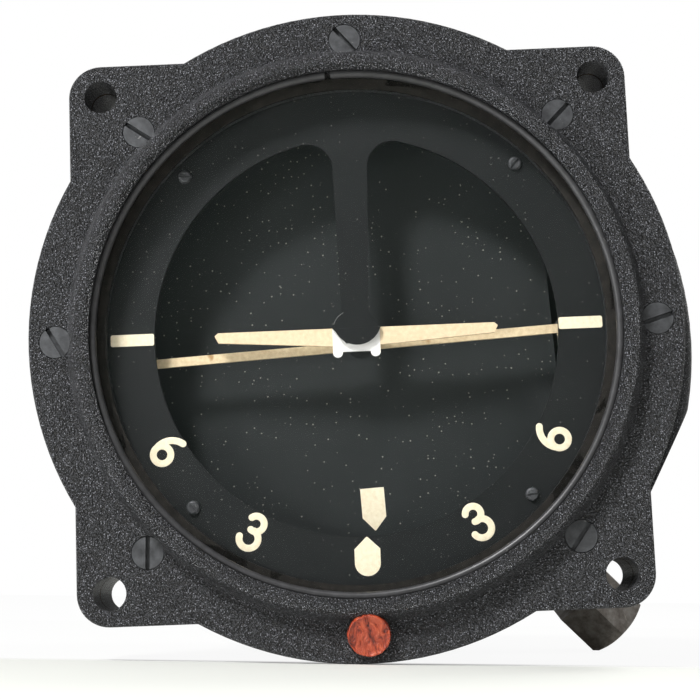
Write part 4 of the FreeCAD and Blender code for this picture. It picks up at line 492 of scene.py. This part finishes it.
side_reach, side_rise = 0.0473, 0.00045
side_length, side_height, corner = 0.0092, 0.0025, 0.0004
left_mark = flat_bar("side_mark_left", (-side_reach, mask_face, side_rise), side_length, side_height)
bpy.ops.mesh.bevel(offset=corner, segments=4, affect="VERTICES")
bpy.ops.object.mode_set(mode="OBJECT")
right_mark = twin(left_mark, "side_mark_right")
right_mark.location.x = 2 * side_reach
laid_down(left_mark, "case")
laid_down(right_mark, "case")

# the index is a round-bottomed tongue with a pointed top
index_middle, tip_middle, index_half_width = 0.00057, 0.00056, 0.00268
round_middle, shoulder, tip, point_share = -0.0481, -0.0452, -0.0427, 0.04
mark = shaped(bpy.ops.mesh.primitive_circle_add, "bottom_index", vertices=48, radius=index_half_width,
              fill_type="NGON", location=(index_middle, mask_face, round_middle), rotation=upright)
bpy.ops.object.mode_set(mode="EDIT")
bpy.ops.mesh.select_all(action="SELECT")
bpy.ops.mesh.bisect(plane_co=(0.0, mask_face, round_middle), plane_no=(0.0, 0.0, 1.0), clear_outer=True)
pick("edges", lambda place: place.z > round_middle - 0.00001)
bpy.ops.mesh.extrude_region_move(TRANSFORM_OT_translate={"value": (0.0, 0.0, shoulder - round_middle)})
bpy.ops.mesh.extrude_region_move(TRANSFORM_OT_translate={"value": (0.0, 0.0, tip - shoulder)})
bpy.ops.transform.resize(value=(point_share, 1.0, 1.0), center_override=(tip_middle, mask_face, tip))
bpy.ops.object.mode_set(mode="OBJECT")
laid_down(mark, "case")

# each stroke is an arc with round ends: centre across and up, radius, and its two ends' angles, in
# millimetres and degrees
half_stroke, flatness = 0.00072, 0.09
three = ((0.30, 1.95, 1.62, 152, -108), (0.30, -1.50, 1.98, 82, -170))
six = ((0.0, 0.0, 1.84, 0, 360), (2.04, 1.18, 4.10, 196, 114))


def on_stroke(across, rise, radius, angle):
    """The point at that angle of a stroke's arc, in metres."""
    turn = math.radians(angle)
    return (across + radius * math.cos(turn)) / 1000, 0.0, (rise + radius * math.sin(turn)) / 1000


for strokes, reach, places in (
    (three, 0.0470, (("three_left", 240), ("three_right", 300))),
    (six, 0.0480, (("six_left", 210), ("six_right", 330))),
):
    drawn = []
    for across, rise, radius, start, end in strokes:
        for stop in (start, end):
            drawn.append(shaped(bpy.ops.mesh.primitive_uv_sphere_add, "stroke_end", segments=20,
                                ring_count=10, radius=half_stroke,
                                location=on_stroke(across, rise, radius, stop)))
        begin = on_stroke(across, rise, radius, start)
        drawn.append(shaped(bpy.ops.mesh.primitive_circle_add, "stroke", vertices=16, radius=half_stroke,
                            location=begin))
        bpy.ops.object.mode_set(mode="EDIT")
        bpy.ops.mesh.select_all(action="SELECT")
        bpy.ops.transform.rotate(value=math.radians(start), orient_axis="Y", center_override=begin)
        bpy.ops.mesh.spin(steps=max(8, int(abs(end - start) / 8)), angle=math.radians(end - start),
                          center=(across / 1000, 0.0, rise / 1000), axis=(0.0, 1.0, 0.0))
        bpy.ops.object.mode_set(mode="OBJECT")
    chosen(drawn[0])
    for stroke in drawn[1:]:
        stroke.select_set(True)
    bpy.ops.object.join()
    drawn[0].scale = (1.0, flatness, 1.0)
    bpy.ops.object.transform_apply(location=True, rotation=True, scale=True)
    bpy.ops.object.mode_set(mode="EDIT")
    bpy.ops.mesh.select_all(action="SELECT")
    bpy.ops.mesh.remove_doubles(threshold=0.000002)
    bpy.ops.mesh.fill_holes(sides=0)
    bpy.ops.mesh.normals_make_consistent(inside=False)
    bpy.ops.object.mode_set(mode="OBJECT")
    drawn[0].data.materials.append(mark_cream)
    for mark, (numeral, angle) in zip((drawn[0], twin(drawn[0], "copied")), places):
        place = math.radians(angle)
        mark.name = numeral
        mark.rotation_euler = (0.0, math.radians(270 - angle), 0.0)
        mark.location = (reach * math.cos(place), mask_face, reach * math.sin(place))
        chosen(mark)
        bpy.ops.object.transform_apply(location=True, rotation=True, scale=True)
        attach(mark, "case")


# ---------------------------------------------------------------- sky plate and its pointer
# The sky plate turns behind the mask with the gimbal. It is the same satin black, a little paler and
# dustier, and carries one short cream pointer that reads against the marks of the mask.
sky_black = dusty_black("sky_black", roughness=0.6, specular=0.18, bare_share=0.60,
                        dark=(0.0175, 0.0200, 0.0205), light=(0.0215, 0.0245, 0.0250),
                        speck=(0.19, 0.19, 0.165))
dress(sky_black, "sky_plate")

sky_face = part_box("sky_plate")[0][1]
lean = math.radians(2.84)
pointer_middle, pointer_width = 0.0004, 0.0051
pointer_top, pointer_shoulder, pointer_tip = -0.0320, -0.0383, -0.0411
mark = flat_bar("sky_pointer", (pointer_middle, sky_face, (pointer_top + pointer_shoulder) / 2),
                pointer_width, pointer_top - pointer_shoulder)
pick("edges", lambda place: place.z < pointer_shoulder + 0.0001)
bpy.ops.mesh.extrude_region_move(
    TRANSFORM_OT_translate={"value": (0.0, 0.0, pointer_tip - pointer_shoulder)})
bpy.ops.transform.resize(value=(point_share, 1.0, 1.0),
                         center_override=(pointer_middle, sky_face, pointer_tip))
bpy.ops.object.mode_set(mode="OBJECT")
mark.rotation_euler = (0.0, -lean, 0.0)
laid_down(mark, "gimbal")


# ---------------------------------------------------------------- horizon bar and its arm
# The bar is a strip of sheet with the same cream paint, gone darker and mottled. The arm that lifts it is
# plated steel with a steel counterweight, and swings on a pin that a spring clip keeps in the gimbal.
bar_cream, tree, shader, colour = cream_paint("bar_cream", dark=(0.65, 0.51, 0.315),
                                              light=(0.78, 0.645, 0.42), clean_share=0.64)
tree.links.new(colour, shader.inputs["Base Color"])
dress(bar_cream, "horizon_bar")
plated = metal("dull_plating", dull=(0.30, 0.30, 0.29), light=(0.52, 0.52, 0.50),
               scored=(0.62, 0.62, 0.60), roughness=0.42, metallic=0.9)
dress(plated, "horizon_arm", "arm_counterweight", "arm_clip", "stop_pegs", "roll_stop_finger")


# ---------------------------------------------------------------- gimbal, can and bridge
# The gimbal ring, the rotor's can and its cover, the erector and the bridge of the front bearing are light
# alloy, sand-cast and machined. They are left bare, because only filtered air reaches them in the case.
alloy = metal("machined_alloy", dull=(0.46, 0.47, 0.48), light=(0.63, 0.64, 0.65),
              scored=(0.76, 0.76, 0.77), roughness=0.4, metallic=0.85)
dress(alloy, "gimbal_ring", "bearing_bridge", "rotor_can", "can_cover", "erector_body")


# ---------------------------------------------------------------- pivots, bearings and shafts
# Pivots, trunnions, ball races, balls and vane shafts are hardened and ground steel. The races are pressed
# into their seats, and the small screws and pins beside them have the same bright finish.
ground = metal("ground_steel", dull=(0.56, 0.56, 0.57), light=(0.72, 0.72, 0.73),
               scored=(0.84, 0.84, 0.84), roughness=0.22, metallic=1.0, depth=0.00001)
dress(ground, "front_roll_pivot", "rear_roll_pivot", "roll_inner_races", "roll_outer_races", "roll_balls",
      "pitch_trunnions", "pitch_inner_races", "pitch_outer_races", "pitch_balls", "rotor_inner_races",
      "rotor_outer_races", "rotor_balls", "rotor_shaft", "side_vane_shaft", "end_vane_shaft", "guide_pin",
      "arm_pivot_pin", "can_screws", "sky_plate_screw")


# ---------------------------------------------------------------- rotor, jets and vanes
# The rotor is a heavy turned brass wheel that two brass jets blow round. The erector's vanes hang in
# front of its ports and are brass sheet too.
brass = metal("turned_brass", dull=(0.40, 0.28, 0.10), light=(0.62, 0.47, 0.20),
              scored=(0.74, 0.60, 0.32), roughness=0.35, metallic=1.0)
dress(brass, "rotor_wheel", "air_jets", "side_vanes", "end_vanes")


# ---------------------------------------------------------------- air filter
# Air comes in at the back through a brass gauze, rolled into a ring. It stands between a brass seat on the
# rear cover and a brass cap, which have both gone dull.
tarnished = metal("tarnished_brass", dull=(0.22, 0.155, 0.06), light=(0.46, 0.34, 0.14),
                  scored=(0.60, 0.47, 0.22), roughness=0.45, metallic=0.95)
dress(tarnished, "filter_body", "filter_cap")

wires_round, wires_along, wire_depth = 140.0, 10500.0, 0.0002
gauze, tree, shader = painted("wire_gauze", 0.45, metallic=0.9)
place = on_piece(tree, "SeparateXYZ").outputs
bearing = sum_of(tree, "ARCTAN2", place["X"], place["Z"])
warp = sum_of(tree, "SINE", sum_of(tree, "MULTIPLY", bearing, wires_round))
weft = sum_of(tree, "SINE", sum_of(tree, "MULTIPLY", place["Y"], wires_along))
wire = sum_of(tree, "MAXIMUM", warp, weft)
wire_colour = shades(tree, wire, (0.15, (0.012, 0.010, 0.006)), (0.75, (0.50, 0.38, 0.17)))
tree.links.new(wire_colour, shader.inputs["Base Color"])
tree.links.new(relief(tree, wire, wire_depth), shader.inputs["Normal"])
dress(gauze, "filter_gauze")


# ---------------------------------------------------------------- suction union
# A brass nipple screwed into the boss at the lower right of the case, with its union nut, both under a dull
# plating that has gone grey.
union_metal = metal("union_plating", dull=(0.17, 0.145, 0.125), light=(0.46, 0.43, 0.40),
                    scored=(0.60, 0.55, 0.45), roughness=0.40, metallic=0.85)
dress(union_metal, "suction_nipple", "suction_nut")


# ---------------------------------------------------------------- wax seal
# The screw at the bottom of the front cover is sealed with a blob of orange-red sealing wax, poured soft,
# pressed down and since scratched.
wax_radius, wax_thickness, wax_lean = 0.0045, 0.0035, math.radians(17)
wax_middle = (0.0003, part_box("wax_seal")[1][1] - 0.0012, -0.0624)
front_begins = 0.0017
rim_step, dip_step, dip, ring_step, rings = 0.00045, 0.0004, -0.00035, 0.00052, 6
blob = shaped(bpy.ops.mesh.primitive_cylinder_add, "wax_blob", vertices=96, radius=wax_radius,
              depth=wax_thickness, location=wax_middle, rotation=(math.pi / 2 + wax_lean, 0.0, 0.0))
bpy.ops.object.mode_set(mode="EDIT")
pick("polygons", lambda place: (wax_middle[1] - place.y) * math.cos(wax_lean)
     + (wax_middle[2] - place.z) * math.sin(wax_lean) > front_begins)
bpy.ops.mesh.inset(thickness=rim_step)
bpy.ops.mesh.inset(thickness=dip_step, depth=dip)
for _ in range(rings):
    bpy.ops.mesh.inset(thickness=ring_step)
bpy.ops.object.mode_set(mode="OBJECT")
soften = blob.modifiers.new("soften", "SUBSURF")
soften.levels = 2
soften.render_levels = 2
bpy.ops.object.modifier_apply(modifier="soften")
for texture_name, size, swelling in (("pour", 0.0026, 0.00034), ("press", 0.0008, 0.00012)):
    lumps = bpy.data.textures.new(texture_name, "CLOUDS")
    lumps.noise_scale = size
    swell = blob.modifiers.new(texture_name, "DISPLACE")
    swell.texture = lumps
    swell.texture_coords = "LOCAL"
    swell.strength = swelling
    swell.mid_level = 0.5
    bpy.ops.object.modifier_apply(modifier=texture_name)
bpy.ops.object.shade_smooth()

streak_depth = 0.0009
wax, tree, shader = painted("sealing_wax", 0.27)
turned = on_piece(tree, "Mapping", Rotation=(0.0, math.radians(-40), 0.0), Scale=(1.8, 1.0, 1.0))
streaks = brush(tree, "TexNoise", Scale=330.0, Detail=4.0, Roughness=0.55, Distortion=1.6)
tree.links.new(turned.outputs["Vector"], streaks.inputs["Vector"])
wax_colour = shades(tree, streaks.outputs["Fac"], (0.33, (0.080, 0.010, 0.006)),
                    (0.50, (0.36, 0.050, 0.020)), (0.72, (0.58, 0.115, 0.047)))
nicked = laid_over(tree, wax_colour, (0.55, 0.20, 0.12), placed(tree, wear, Scale=3.0).outputs["Scratch"])
tree.links.new(nicked, shader.inputs["Base Color"])
tree.links.new(relief(tree, streaks.outputs["Fac"], streak_depth), shader.inputs["Normal"])
blob.data.materials.append(wax)
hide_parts("wax_seal")
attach(blob, "case")
